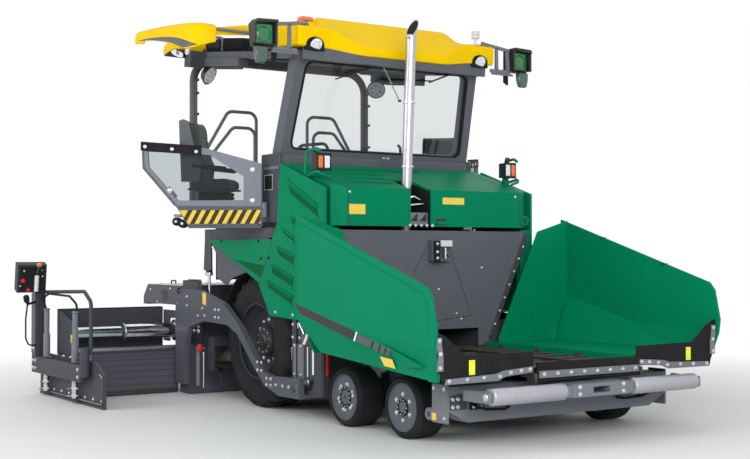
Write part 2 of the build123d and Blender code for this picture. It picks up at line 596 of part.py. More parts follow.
def make_engine_bay():
    """Engine block, hood lid, side panels and exhaust."""
    save("engine", box(*ENGINE_X, -ENGINE_HALF, ENGINE_HALF, CHASSIS_TOP_Z, ENGINE_TOP_Z))
    side = ((HOOD_REAR_X, HOOD_LOW_Z), (HOOD_FRONT_X, HOOD_LOW_Z), (HOOD_FRONT_X, HOOD_FRONT_TOP_Z),
            (HOOD_REAR_X, HOOD_REAR_TOP_Z))
    inner_side = ((HOOD_REAR_X - 5, HOOD_LOW_Z - 5), (HOOD_FRONT_X - HOOD_SKIN, HOOD_LOW_Z - 5),
                  (HOOD_FRONT_X - HOOD_SKIN, HOOD_FRONT_TOP_Z - HOOD_SKIN),
                  (HOOD_REAR_X - 5, HOOD_REAR_TOP_Z - HOOD_SKIN + 3))
    outer = side_plate(side, -HOOD_HALF, HOOD_HALF)
    corner = [floor_plate(((HOOD_CORNER_X, s * (HOOD_HALF + 5)), (HOOD_FRONT_X + 5, s * (HOOD_HALF + 5)),
                           (HOOD_FRONT_X + 5, s * HOOD_CORNER_Y)), HOOD_LOW_Z - 5, HOOD_REAR_TOP_Z + 5)
              for s in (-1, 1)]
    inner = side_plate(inner_side, -HOOD_HALF + HOOD_SKIN, HOOD_HALF - HOOD_SKIN)
    inner_half = HOOD_HALF - HOOD_SKIN
    inner_front = HOOD_FRONT_X - HOOD_SKIN
    keep_outline = ((HOOD_REAR_X - 10, -inner_half), (HOOD_CORNER_X - 8, -inner_half),
                    (inner_front, -HOOD_CORNER_Y + 8), (inner_front, HOOD_CORNER_Y - 8),
                    (HOOD_CORNER_X - 8, inner_half), (HOOD_REAR_X - 10, inner_half))
    keep = floor_plate(keep_outline, HOOD_LOW_Z - 10, HOOD_REAR_TOP_Z + 10)
    slot = box(HOOD_SLOT_REAR_X, HOOD_FRONT_X + 10, HOOD_SLOT_Y - HOOD_SLOT_HALF,
               HOOD_SLOT_Y + HOOD_SLOT_HALF, HOOD_LOW_Z - 10, HOOD_REAR_TOP_Z + 10)
    louvres = [box(x, x + LOUVRE_W, y0, y1, HOOD_FRONT_TOP_Z, HOOD_REAR_TOP_Z + 10)
               for x, y0, y1 in HOOD_LOUVRES]
    shell = minus(minus(outer, *corner), shared(inner, keep), slot, *louvres)
    lamps = []
    for s in (-1, 1):
        lamps.append(box(1100, 1190, s * 1095, s * 1225, 2400, 2530))
        lamps.append(box(1130, 1160, s * 1140, s * 1170, 2280, 2405))
    hinge_x, hinge_z = HOOD_HINGE
    barrels = []
    for s in (-1, 1):
        barrels.append(rod((hinge_x, s * 820, hinge_z), (hinge_x, s * 980, hinge_z), HOOD_HINGE_R + 10))
        barrels.append(box(hinge_x, HOOD_REAR_X + 10, s * 820, s * 980, hinge_z, hinge_z + 20))
    pins = rod((hinge_x, -1100, hinge_z), (hinge_x, 1100, hinge_z), HOOD_HINGE_R + PIN_GAP)
    save("hood", minus(union([shell] + lamps + barrels), pins))
    panel_outline = ((HOOD_REAR_X + 50, 2480), (500, 1880), (115, 1290), (360, 960), (880, 940),
                     (1400, 1010), (1400, 2210))
    panel = side_plate(panel_outline, -SIDE_FACE_Y, -SIDE_FACE_Y + SIDE_T)
    skirt = side_plate(((-1000, BASE_Z[0] - 15), (420, BASE_Z[0] - 15), (125, 1290)), -SIDE_FACE_Y,
                       -SIDE_FACE_Y + 20)
    vents = [side_plate(corners, -SIDE_FACE_Y - 1, -SIDE_FACE_Y + VENT_DEPTH) for corners in (
        ((521, 1800), (759, 1728), (778, 1689)), ((461, 1721), (700, 1611), (701, 1561)),
        ((380, 1500), (700, 1424), (701, 1365)), ((340, 1319), (760, 1130), (760, 1072)))]
    arch_outline = ((-1000, BASE_Z[0]), (-984, 1693), (-853, 1575), (-852, 1325), (-627, 1240),
                    (-510, 1317), (-224, 1382), (100, 1400), (300, BASE_Z[0]))
    arch = side_plate(arch_outline, -SIDE_FACE_Y + 18, -SIDE_FACE_Y + 34)
    shelf = box(730, 1400, -SIDE_FACE_Y + SIDE_T - 5, -CHASSIS_HALF, 985, 1000)
    post = box(1330, 1400, -SIDE_FACE_Y + SIDE_T - 5, -WALL_TOP_HALF + 40, 985, HOOD_LOW_Z - 20)
    right = minus(union([panel, shelf, post, skirt, arch]), *vents)
    save("body_side_right", right)
    save("body_side_left", mirrored(right))
    foot = (EXHAUST_X - EXHAUST_LEAN, HOOD_SLOT_Y, ENGINE_TOP_Z - 30)
    below = box(foot[0] - 100, foot[0] + 100, HOOD_SLOT_Y - 100, HOOD_SLOT_Y + 100, foot[2] - 50,
                ENGINE_TOP_Z)
    bend = (EXHAUST_X, HOOD_SLOT_Y, EXHAUST_TOP_Z - 150)
    tip = (EXHAUST_X + 8, HOOD_SLOT_Y + 75, EXHAUST_TOP_Z + 60)
    pipe = union([rod(foot, bend, EXHAUST_R), Pos(*bend) * Solid.make_sphere(EXHAUST_R, angle1=-90),
                  rod(bend, tip, EXHAUST_R)])
    bore_r = EXHAUST_R - 5
    bore = union([rod((EXHAUST_X - 8, HOOD_SLOT_Y, EXHAUST_TOP_Z - 300), bend, bore_r),
                  Pos(*bend) * Solid.make_sphere(bore_r, angle1=-90), rod(bend, tip, bore_r)])
    cut = Plane(origin=(EXHAUST_X, HOOD_SLOT_Y + 25, EXHAUST_TOP_Z - 70), z_dir=(0.3, -0.72, 0.62))
    slash = extrude(cut * Rectangle(500, 500), 300).solid()
    save("exhaust", minus(pipe, bore, slash, below))


# Platform and cab

def make_platform():
    """Operator's deck on its base frame, down to the chassis."""
    frame_block = shield_block()
    deck = box(*DECK_X, -DECK_HALF, DECK_HALF, *DECK_Z)
    base = box(*BASE_X, -BASE_HALF, BASE_HALF, *BASE_Z)
    riser = box(*BASE_X, -DECK_HALF + 60, DECK_HALF - 60, BASE_Z[1] - 5, DECK_Z[0] + 5)
    tower = box(-560, BASE_X[1], -780, 780, CHASSIS_TOP_Z, BASE_Z[0] + 5)
    core = box(-540, BASE_X[1] - 20, -760, 760, CHASSIS_TOP_Z - 5, BASE_Z[0])
    firewall = box(DECK_X[1] - 25, DECK_X[1], -DECK_HALF, DECK_HALF, DECK_Z[1] - 5, 2500)
    hinge_x, hinge_z = HOOD_HINGE
    px, py = CONSOLE_PIVOT
    pieces = [deck, base, riser, minus(tower, core), firewall]
    for s in (-1, 1):
        wall_outline = ((45, DECK_Z[1] - 5), (DECK_X[1], DECK_Z[1] - 5), (440, 2440), (440, 2600),
                        (60, 2600))
        wall = side_plate(wall_outline, s * (DECK_HALF - 35), s * DECK_HALF)
        pieces.append(minus(wall, frame_block))
        pieces.append(side_plate(((-1148, BASE_Z[1]), (-1184, 1400), (-1005, 1400), (-1005, BASE_Z[1])),
                                 s * (BASE_HALF - 8), s * (BASE_HALF + 2)))
        pieces.append(box(DECK_X[1] - 5, hinge_x + 14, s * 780, s * 815, hinge_z - 20, hinge_z + 14))
        pieces.append(box(DECK_X[1] - 5, hinge_x + 14, s * 985, s * 1020, hinge_z - 20, hinge_z + 14))
        pieces.append(rod((hinge_x, s * 790, hinge_z), (hinge_x, s * 1010, hinge_z), HOOD_HINGE_R))
        pieces.append(box(px - 36, px + 36, s * (DECK_HALF - 5), s * py, *DECK_Z))
        pieces.append(rod((px, s * py, DECK_Z[0]), (px, s * py, DECK_Z[1]), 36))
        pieces.append(rod((px, s * py, DECK_Z[1] - 5), (px, s * py, 2110), CONSOLE_PIN_R))
        for y in (LIFT_Y - 34, LIFT_Y + 22):
            pieces.append(box(LIFT_TOP[0] - 34, BASE_X[0] + 5, s * y, s * (y + 12), LIFT_TOP[1] - 34,
                              BASE_Z[1]))
        pieces.append(rod((LIFT_TOP[0], s * (LIFT_Y - 34), LIFT_TOP[1]),
                          (LIFT_TOP[0], s * (LIFT_Y + 34), LIFT_TOP[1]), LIFT_PIN_R))
    save("platform", union(pieces))
    desk = union([
        box(60, 200, -700, 700, DECK_Z[1], 2420),
        side_plate(((-60, 2420), (200, 2420), (200, 2530), (20, 2500)), -820, 820),
    ])
    save("control_desk", desk)
    rails = []
    for s in (-1, 1):
        for x, inner, run, top, low in RAIL_HOOPS:
            hoop = ((x, s * inner, DECK_Z[1]), (x, s * inner, top), (x, s * (inner + run), top),
                    (x, s * RAIL_OUT_Y, low))
            rails.append(bent_tube(hoop, RAIL_R, RAIL_BEND))
    save("handrails", Compound(rails))


def shield_plane():
    """Plane of the windshield: local x along Y, local y up the glass, z outwards."""
    lean = (SHIELD_HIGH[0] - SHIELD_LOW[0], SHIELD_HIGH[1] - SHIELD_LOW[1])
    length = hypot(*lean)
    return Plane(origin=(SHIELD_LOW[0], 0, SHIELD_LOW[1]), x_dir=(0, 1, 0),
                 z_dir=(lean[1] / length, 0, -lean[0] / length)), length


def shield_block():
    """The windshield frame's solid outline, without its window."""
    plane, length = shield_plane()
    outer_pts = [(-SHIELD_LOW_HALF, -SHIELD_BAR / 2), (SHIELD_LOW_HALF, -SHIELD_BAR / 2),
                 (SHIELD_TOP_HALF, length + SHIELD_BAR), (-SHIELD_TOP_HALF, length + SHIELD_BAR)]
    return extrude(plane * make_face(FilletPolyline(*outer_pts, radius=40, close=True)),
                   -SHIELD_DEPTH).solid()


def make_windshield():
    """Leaning frame with rounded window, and the pane in it."""
    plane, length = shield_plane()
    low_half, top_half = SHIELD_LOW_HALF - SHIELD_BAR, SHIELD_TOP_HALF - SHIELD_BAR
    inner_pts = [(-low_half, SHIELD_BAR / 2), (low_half, SHIELD_BAR / 2), (top_half, length),
                 (-top_half, length)]
    window = make_face(FilletPolyline(*inner_pts, radius=90, close=True))
    hole = extrude(plane.offset(10) * window, -SHIELD_DEPTH - 20).solid()
    save("windshield_frame", minus(shield_block(), hole))
    pane = extrude(plane.offset(-20) * window, -GLASS_T)
    save("windshield_glass", pane.solid())


def roof_place(shape):
    """Turn a piece drawn level at the roof pivot to the roof's tilt."""
    x, z = ROOF_PIVOT
    return Pos(x, 0, z) * Rot(0, ROOF_TILT, 0) * Pos(-x, 0, -z) * shape


def front_shell():
    """Front roof shell: a low middle between two high end blocks, with sloped flanks."""
    px, pz = ROOF_PIVOT

    def section(y, outline):
        return Wire.make_polygon([Vector(px + x, y, pz + z) for x, z in outline])
    middle = side_plate([(px + x, pz + z) for x, z in SHELL_MIDDLE], -SHELL_FLANK_Y[0], SHELL_FLANK_Y[0])
    pieces = [middle]
    for s in (-1, 1):
        flank_in, flank_out = s * SHELL_FLANK_Y[0], s * SHELL_FLANK_Y[1]
        pieces.append(Solid.make_loft([section(flank_in, SHELL_MIDDLE), section(flank_out, SHELL_END)], True))
        pieces.append(side_plate([(px + x, pz + z) for x, z in SHELL_END], flank_out, s * SHELL_HALF))
    return roof_place(union(pieces))


def awning(s, edge):
    """Folding side awning: a ridged top over a deep curved outer face, closed at both ends."""
    px, pz = ROOF_PIVOT
    inner = edge - AWNING_DEPTH
    ridge = ((inner, 225), (inner, 250), (edge - 60, 262), (edge, 215), (edge, 190), (edge - 25, 190),
             (edge - 70, 235))
    cover = cross_plate([(s * y, pz + z) for y, z in ridge], *AWNING_X)
    limit = side_plate([(x, pz + z) for x, z in AWNING_TOP + ((AWNING_X[1], 0), (AWNING_X[0], 0))],
                       s * (inner - 10), s * (edge + 10))
    face = side_plate([(x, pz + z) for x, z in AWNING_FACE], s * (edge - AWNING_SKIN), s * edge)
    front = cross_plate([(s * y, pz + z) for y, z in ((edge, 0), (edge, 215), (edge - 60, 250), (inner, 250),
                                                      (inner, 95), (edge - 110, 40))],
                        AWNING_X[1] - AWNING_SKIN, AWNING_X[1])
    back = cross_plate([(s * y, pz + z) for y, z in ((edge, 57), (edge, 178), (inner, 195), (inner, 120))],
                       AWNING_X[0], AWNING_X[0] + AWNING_SKIN)
    pieces = [shared(cover, limit), face, front, back]
    for x in (AWNING_X[0] + 150, AWNING_X[1] - 90):
        pieces.append(rod((x, s * 1150, pz + 215), (x, s * (inner + 40), pz + 215), 16))
        pieces.append(box(x - 15, x + 15, s * 1155, s * 1185, pz + 50, pz + 215))
    return roof_place(union(pieces))


def make_roof():
    """Posts, beams, yellow front and rear shells, awnings, panel and side lamps."""
    px, pz = ROOF_PIVOT
    block = shield_block()
    beams = []
    post_head_z = pz + (px - POST_X) * sin(radians(ROOF_TILT))
    for s in (-1, 1):
        y = s * POST_Y
        beams.append(roof_place(box(POST_X - 60, px + 60, y - 40, y + 40, pz - 20, pz + 50)))
        beams.append(roof_place(box(POST_X + 230, px - 1030, y - 60, y + 60, pz - 110, pz - 15)))
    for x in (POST_X, -520, px - 160):
        beams.append(roof_place(box(x - 40, x + 40, -POST_Y, POST_Y, pz - 10, pz + 50)))
    hoop = ((POST_X, -POST_Y, DECK_Z[1]), (POST_X, -POST_Y, post_head_z - 25),
            (POST_X, POST_Y, post_head_z - 25), (POST_X, POST_Y, DECK_Z[1]))
    beams.append(bent_tube(hoop, POST_R, POST_BEND))
    panel = roof_place(box(POST_X + 120, px - 225, -1125, 1125, pz + 50, pz + 90))
    save("roof_panel", panel)
    shells = minus(front_shell(), block)
    back = roof_place(side_plate([(POST_X + x, pz + z) for x, z in REAR_SHELL], -REAR_SHELL_HALF,
                                 REAR_SHELL_HALF))
    save("roof_frame", minus(union(beams), block, *shells.solids()))
    awnings = [awning(s, edge) for s, edge in ((-1, AWNING_OUT_Y), (1, AWNING_IN_Y))]
    save("roof_shells", union([shells, back] + awnings))
    lamps = []
    for s in (-1, 1):
        arm = union([
            box(790, 830, s * 1240, s * 1510, 3800, 3830),
            box(790, 830, s * 1240, s * 1510, 3600, 3630),
            box(790, 830, s * 1240, s * 1265, 3600, 3830),
        ])
        case = cross_plate([(s * y, z) for y, z in ((1500, 3580), (1720, 3580), (1740, 3800), (1705, 3830),
                                                    (1490, 3830))],
                           740, 860)
        case = minus(case, box(805, 870, s * 1515, s * 1712, 3600, 3808))
        mirror_case = box(780, 840, s * 1580, s * 1710, 3430, 3585)
        lamps.append(union([arm, case, mirror_case]))
    save("roof_lamps", Compound(lamps))


def console():
    """Right seat console along X before it is swung: floor, side panel, hazard plate, back box."""
    px, py = CONSOLE_PIVOT
    y = -py
    floor_z = CONSOLE_FLOOR_Z
    seat_x = (px - SEAT_REACH[1], px - SEAT_REACH[0])
    floor = box(px - CONSOLE_REACH, px - 185, y + 10, y + 620, floor_z, floor_z + 25)
    panel = side_plate([(px + x, z) for x, z in CONSOLE_PANEL], y - 40, y - 10)
    window = side_plate([(px + x, z) for x, z in CONSOLE_WINDOW], y - 60, y + 60)
    hazard = side_plate([(px + x, z) for x, z in CONSOLE_PLATE], y - 40, y - 15)
    posts = [box(px - 120, px - 60, y - 20, y + 12, floor_z, 2200),
             box(px - 800, px - 740, y - 20, y + 20, floor_z, 2110)]
    rail = box(px - CONSOLE_REACH, px - 60, y - 20, y + 12, floor_z, floor_z + 25)
    stand_x = (seat_x[0] + 80, seat_x[1] - 100)
    stand = box(*stand_x, y + 180, y + 480, floor_z + 20, floor_z + SEAT_STAND_H)
    barrel = rod((px, y, 1955), (px, y, 2105), 36)
    bore = rod((px, y, 1940), (px, y, 2120), CONSOLE_PIN_R + PIN_GAP)
    return minus(union([floor, minus(panel, window), hazard, stand, rail, barrel] + posts), bore)


def seat():
    """Right seat: cushion and backrest facing forward before the swing."""
    px, py = CONSOLE_PIVOT
    y = -py + 330
    rear, front = px - SEAT_REACH[1], px - SEAT_REACH[0]
    low = CONSOLE_FLOOR_Z + SEAT_STAND_H
    top = low + SEAT_T
    cushion = box(rear, front, y - 240, y + 240, low + SEAT_GAP, top)
    back_outline = ((rear, top - 60), (rear + 90, top - 60), (rear + 10, top + 620), (rear - 80, top + 620))
    back = side_plate(back_outline, y - 230, y + 230)
    return union([cushion, back])


def make_consoles():
    """Both consoles with their seats, swung out as they stand."""
    px, py = CONSOLE_PIVOT
    swing = Pos(px, -py, 0) * Rot(0, 0, CONSOLE_SWING) * Pos(-px, py, 0)
    for name, piece in (("console", console()), ("seat", seat())):
        right = swing * piece
        save(f"{name}_right", right)
        save(f"{name}_left", mirrored(right))


# Screed

def make_screed():
    """Main screed with cover, tube guides and the two arms to the tow points."""
    back = SCREED_FRONT_X - SCREED_DEPTH
    section = ((SCREED_FRONT_X, 8), (SCREED_FRONT_X, 1190), (back, 1190), (back, 8))
    body = side_plate(section, -SCREED_HALF, SCREED_HALF)
    cover_rear, cover_front = COVER_X
    lid = ((cover_front, 1000), (cover_front, COVER_TOP_Z), (cover_rear, COVER_TOP_Z),
           (-REAR_REACH, COVER_TOP_Z - 140), (-REAR_REACH, 985), (cover_rear, 985), (cover_rear, 1000))
    cover = side_plate(lid, -COVER_HALF, COVER_HALF)
    guides = []
    for s in (-1, 1):
        guides.append(box(TUBE_X - 120, back + 5, s * 800, s * 1265, TUBE_Z - 110, TUBE_Z + 110))
    bores = [rod((TUBE_X, s * 700, TUBE_Z), (TUBE_X, s * 1400, TUBE_Z),
                 TUBE_BIG_R + SLIDE_GAP) for s in (-1, 1)]
    arms = []
    for s in (-1, 1):
        arms.append(side_plate(ARM_OUTLINE, s * ARM_Y[0], s * ARM_Y[1]))
        arms.append(box(-1520, -1150, s * ARM_Y[0], s * (ARM_Y[1] - 5), 1175, 1285))
        arms.append(box(-1700, -1510, s * (SCREED_HALF - 5), s * (ARM_Y[0] + 5), 200, 1100))
        arms.append(box(LIFT_EYE[0] - 60, LIFT_EYE[0] + 60, s * (LIFT_Y + 46), s * (ARM_Y[0] + 5),
                        LIFT_EYE[1] - 50, LIFT_EYE[1] + 50))
    tow_bores = [rod((TOW_X, s * 1270, TOW_Z), (TOW_X, s * 1400, TOW_Z), TOW_PIN_R + PIN_GAP)
                 for s in (-1, 1)]
    save("screed", minus(union([body, cover] + guides + arms), *bores, *tow_bores))


def extension():
    """Right screed extension with rear wall, end plate, inner tube, gate and control stand."""
    y_in, y_out = -EXT_IN_Y, -EXT_OUT_Y
    low = box(EXT_REAR_X, EXT_FRONT_X, y_in, y_out, 8, EXT_TOP_Z)
    wall = box(EXT_REAR_X - 30, EXT_REAR_X + 5, y_in, y_out, 8, 960)
    end = side_plate(((EXT_REAR_X - 30, 8), (EXT_FRONT_X, 8), (EXT_FRONT_X, 820), (EXT_REAR_X - 30, 960)),
                     y_out, y_out + 20)
    tube = rod((TUBE_X, -1230, TUBE_Z), (TUBE_X, y_out + 5, TUBE_Z), TUBE_SMALL_R)
    guide = rod((EXT_FRONT_X - 30, y_in, EXT_TOP_Z + 15), (EXT_FRONT_X - 30, y_out + 5, EXT_TOP_Z + 15), 25)
    links = [box(x - 60, x + 60, y_out + 5, -GATE_Y[0] - 5, 120, 380) for x in (-1850, -2120)]
    gate = side_plate(((GATE_X[0], 0), (GATE_X[1], 0), (GATE_X[1], 330), (-900, 450), (GATE_X[0], 450)),
                      -GATE_Y[0], -GATE_Y[1])
    beam = box(GATE_X[0], -1050, -GATE_Y[1] - 75, -GATE_Y[1] - 105, 250, 430)
    stays = [box(x - 20, x + 20, -GATE_Y[1] + 5, -GATE_Y[1] - 80, 300, 380) for x in (-2450, -1100)]
    post = box(-2530, -2410, -GATE_Y[1] - 110, -GATE_Y[1] + 5, 425, 1210)
    columns = [rod((x, -GATE_Y[1] - 55, 20), (x, -GATE_Y[1] - 55, 960), 26) for x in (-2200, -1330)]
    feet = [box(x - 30, x + 30, -GATE_Y[1] - 60, -GATE_Y[1] + 5, 20, 60) for x in (-2200, -1330)]
    rail_y = -GATE_Y[1] + 10
    rail_line = ((-2420, rail_y - 20, 1150), (-1240, rail_y, 1185), (-1050, rail_y, 1080),
                 (-1050, rail_y, 440))
    rail = bent_tube(rail_line, 20, 80)
    panel = side_plate(((-2440, 1190), (-2360, 1150), (-2320, 1460), (-2400, 1490)), -2970, -2640)
    neck = box(-2430, -2370, -2760, -2700, 1190, 1260)
    pieces = [low, wall, end, tube, guide, gate, beam, post, rail, panel, neck]
    return union(pieces + links + stays + columns + feet)


def stage():
    """Right middle stage of the telescopic tube, hollow."""
    return ring_y(TUBE_X, TUBE_Z, -780, -1920, TUBE_BIG_R, TUBE_SMALL_R + SLIDE_GAP)


def auger():
    """Right auger: shaft with a stepped spiral flight of equal sectors."""
    y0, y1 = AUGER_Y
    steps = 12
    pitch_step = AUGER_PITCH / steps
    shaft = rod((AUGER_X, -y0, AUGER_Z), (AUGER_X, -y1, AUGER_Z), AUGER_SHAFT_R)
    blades = []
    count = int((y1 - y0 - 20) / pitch_step)
    for i in range(count):
        a0 = 2 * pi * i / steps
        a1 = a0 + 2 * pi / steps * 1.15
        points = [(AUGER_X, AUGER_Z), (AUGER_X + AUGER_R * cos(a0), AUGER_Z + AUGER_R * sin(a0)),
                  (AUGER_X + AUGER_R * cos(a1), AUGER_Z + AUGER_R * sin(a1))]
        start = y0 + 10 + i * pitch_step
        blades.append(side_plate(points, -start, -start - pitch_step * 1.15))
    bore = rod((AUGER_X, 0, AUGER_Z), (AUGER_X, -1300, AUGER_Z), 18 + PIN_GAP)
    return minus(union([shaft] + blades), bore)


def make_lift():
    """Lift cylinders between the platform base and the screed arms: barrels and rods."""
    bx, bz = LIFT_TOP
    ex, ez = LIFT_EYE
    length = hypot(ex - bx, ez - bz)
    ux, uz = (ex - bx) / length, (ez - bz) / length
    barrels, rods = [], []
    for s in (-1, 1):
        y = s * LIFT_Y
        tube = rod((bx + ux * 55, y, bz + uz * 55), (bx + ux * 360, y, bz + uz * 360), 38)
        eye = rod((bx, y - 20, bz), (bx, y + 20, bz), 32)
        neck = rod((bx, y, bz), (bx + ux * 60, y, bz + uz * 60), 18)
        body = union([tube, eye, neck])
        bore = rod((bx + ux * 70, y, bz + uz * 70), (bx + ux * 380, y, bz + uz * 380), 18 + PIN_GAP)
        pin_hole = rod((bx, y - 40, bz), (bx, y + 40, bz), LIFT_PIN_R + PIN_GAP)
        barrels.append(minus(body, bore, pin_hole))
        stem = rod((bx + ux * 345, y, bz + uz * 345), (ex, y, ez), 18)
        head = rod((ex, y - s * 25, ez), (ex, y + s * (46 - SEAT_GAP), ez), 36)
        rods.append(union([stem, head]))
    save("lift_barrels", Compound(barrels))
    save("lift_rods", Compound(rods))


def make_screed_group():
    """Screed, extensions, tube stages, augers and lift cylinders."""
    make_screed()
    for name, piece in (("screed_extension", extension()), ("tube_stage", stage()), ("auger", auger())):
        save(f"{name}_right", piece)
        save(f"{name}_left", mirrored(piece))
    make_lift()


os.makedirs("parts", exist_ok=True)
make_wheels()
make_knuckles()
make_chassis()
make_conveyor()
make_front_beam()
make_push_bar()
make_hopper()
make_engine_bay()
make_platform()
make_windshield()
make_roof()
make_consoles()
make_screed_group()
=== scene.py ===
import bpy
import bmesh
from math import cos, hypot, pi, radians, sin
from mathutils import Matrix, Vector


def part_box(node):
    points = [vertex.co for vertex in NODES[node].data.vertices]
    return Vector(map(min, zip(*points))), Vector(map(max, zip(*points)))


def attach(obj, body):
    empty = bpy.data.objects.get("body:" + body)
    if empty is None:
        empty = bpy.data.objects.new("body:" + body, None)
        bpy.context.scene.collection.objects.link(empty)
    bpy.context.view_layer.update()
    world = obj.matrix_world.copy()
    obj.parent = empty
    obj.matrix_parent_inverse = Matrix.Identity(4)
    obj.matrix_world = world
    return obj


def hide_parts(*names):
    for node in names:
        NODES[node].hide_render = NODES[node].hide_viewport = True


# Looks of a wheeled asphalt paver: paint, rubber, glass, seats and the fine
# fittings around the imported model. Places are written in millimetres from the
# rear axle, X forward, Y to the machine's left, Z up, and `at` sets them in the frame.

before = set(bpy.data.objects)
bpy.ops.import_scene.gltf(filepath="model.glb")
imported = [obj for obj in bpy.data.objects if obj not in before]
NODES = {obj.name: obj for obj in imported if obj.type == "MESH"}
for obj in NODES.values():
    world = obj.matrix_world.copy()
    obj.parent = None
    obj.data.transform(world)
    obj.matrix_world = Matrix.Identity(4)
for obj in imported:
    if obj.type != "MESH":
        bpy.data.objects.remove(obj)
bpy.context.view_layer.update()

axle_low, axle_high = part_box("rear_wheel_right")
AXLE_X = (axle_low.x + axle_high.x) / 2


def at(x, y, z):
    """A place in millimetres from the rear axle, as metres in the frame."""
    return Vector((x / 1000 + AXLE_X, y / 1000, z / 1000))


def sides():
    """Both sides of the machine: the name's ending and the sign of Y."""
    return (("right", -1), ("left", 1))


# Finishes

def linear(r, g, b):
    """A colour given in 0-255 display values, as linear light."""
    def one(v):
        v /= 255
        return v / 12.92 if v <= 0.04045 else ((v + 0.055) / 1.055) ** 2.4
    return (one(r), one(g), one(b), 1.0)


def shade(colour, factor):
    """A colour made darker or lighter."""
    return tuple(min(1.0, c * factor) for c in colour[:3]) + (1.0,)


def add(tree, kind, settings=(), *ordered, **named):
    """A node with its settings; each input, by order or name, is linked to a socket or set."""
    made = tree.nodes.new(kind)
    for key, value in dict(settings).items():
        setattr(made, key, value)
    inputs = [(socket, value) for socket, value in zip(made.inputs, ordered) if value is not None]
    inputs += [(made.inputs[name.replace("_", " ")], value) for name, value in named.items()]
    for socket, value in inputs:
        if isinstance(value, bpy.types.NodeSocket):
            tree.links.new(value, socket)
        else:
            socket.default_value = value
    return made


class Surface:
    """A material's nodes, with short calls for the ones that repeat."""

    def __init__(self, name, roughness, metallic=0.0, **sockets):
        self.material = bpy.data.materials.new(name)
        self.material.use_nodes = True
        self.tree = self.material.node_tree
        self.shader = self.tree.nodes["Principled BSDF"]
        for socket, value in dict(sockets, Roughness=roughness, Metallic=metallic).items():
            self.shader.inputs[socket.replace("_", " ")].default_value = value
        self.place = self.node("ShaderNodeTexCoord").outputs["Object"]

    def node(self, kind, settings=(), *ordered, **named):
        return add(self.tree, kind, settings, *ordered, **named)

    def link(self, a, b):
        self.tree.links.new(a, b)

    def noise(self, scale, detail=4.0, stretch=None):
        """A noise value over the object's own space."""
        place = self.place
        if stretch:
            place = self.node("ShaderNodeMapping", Scale=stretch, Vector=place).outputs["Vector"]
        return self.node("ShaderNodeTexNoise", Scale=scale, Detail=detail, Vector=place).outputs["Fac"]

    def spread(self, value, low, high, start=0.3, end=0.7):
        """A value stretched from its usual range to low..high."""
        return self.node("ShaderNodeMapRange", From_Min=start, From_Max=end, To_Min=low, To_Max=high,
            Value=value).outputs["Result"]

    def math(self, operation, a, b=None):
        return self.node("ShaderNodeMath", {"operation": operation}, a, b).outputs[0]

    def mix(self, factor, a, b):
        """Colour a to colour b by a factor; each may be a value or a socket."""
        made = self.node("ShaderNodeMix", {"data_type": "RGBA"}, Factor=factor)
        for name, value in (("A", a), ("B", b)):
            target = [socket for socket in made.inputs if socket.name == name and socket.type == "RGBA"][0]
            if isinstance(value, tuple):
                target.default_value = value
            else:
                self.link(value, target)
        return [socket for socket in made.outputs if socket.type == "RGBA"][0]

    def axes(self):
        """The three coordinates of the object's space."""
        return self.node("ShaderNodeSeparateXYZ", (), self.place).outputs

    def colour(self, socket):
        self.link(socket, self.shader.inputs["Base Color"])

    def rough(self, value):
        self.link(value, self.shader.inputs["Roughness"])

    def bump(self, height, strength, distance, edge=0.0):
        """Height as bump, over edges softened by a small radius."""
        made = self.node("ShaderNodeBump", Strength=strength, Distance=distance, Height=height)
        if edge:
            soft = self.node("ShaderNodeBevel", {"samples": 4}, Radius=edge)
            self.link(soft.outputs["Normal"], made.inputs["Normal"])
        self.link(made.outputs["Normal"], self.shader.inputs["Normal"])


def paint(name, colour, roughness=0.42, gloss=0.14, edge=0.006, spread=0.04):
    """Sprayed paint: faint tone changes, orange peel and a little dust."""
    s = Surface(name, roughness, Specular_IOR_Level=gloss)
    tone = s.spread(s.noise(1.6, 3), 0, 1)
    base = s.mix(tone, shade(colour, 1 - spread), shade(colour, 1 + spread))
    dust = s.spread(s.noise(26, 6), 0, 0.012, 0.5, 0.8)
    s.colour(s.mix(dust, base, linear(170, 168, 160)))
    s.rough(s.spread(s.noise(40, 5), roughness - 0.05, roughness + 0.08))
    s.bump(s.noise(420, 2), 0.06, 0.001, edge)
    return s.material


def metal(name, colour, roughness, brushed=(1, 1, 1), edge=0.004, metallic=1.0):
    """Bare, plated or brushed metal."""
    s = Surface(name, roughness, metallic)
    tone = s.spread(s.noise(14, 5, brushed), 0, 1)
    s.colour(s.mix(tone, shade(colour, 0.88), shade(colour, 1.06)))
    s.rough(s.spread(s.noise(60, 6, brushed), roughness * 0.75, roughness * 1.3))
    s.bump(s.noise(200, 3, brushed), 0.05, 0.0008, edge)
    return s.material


def rubber(name, colour, roughness=0.75, edge=0.005):
    """Matt rubber with fine pits and a faint bloom."""
    s = Surface(name, roughness, Specular_IOR_Level=0.12)
    bloom = s.spread(s.noise(7, 6), 0, 1, 0.35, 0.75)
    s.colour(s.mix(bloom, shade(colour, 0.85), shade(colour, 1.3)))
    s.rough(s.spread(s.noise(50, 4), roughness - 0.1, roughness + 0.1))
    s.bump(s.noise(300, 4), 0.2, 0.0012, edge)
    return s.material


def plastic(name, colour, roughness=0.5, edge=0.003):
    """Moulded plastic with a fine spark-eroded grain."""
    s = Surface(name, roughness)
    s.colour(s.mix(s.spread(s.noise(20, 3), 0, 1), shade(colour, 0.9), shade(colour, 1.12)))
    s.rough(s.spread(s.noise(70, 3), roughness - 0.06, roughness + 0.06))
    s.bump(s.noise(900, 2), 0.12, 0.0006, edge)
    return s.material


GREEN = linear(0, 134, 94)
YELLOW = linear(252, 208, 0)

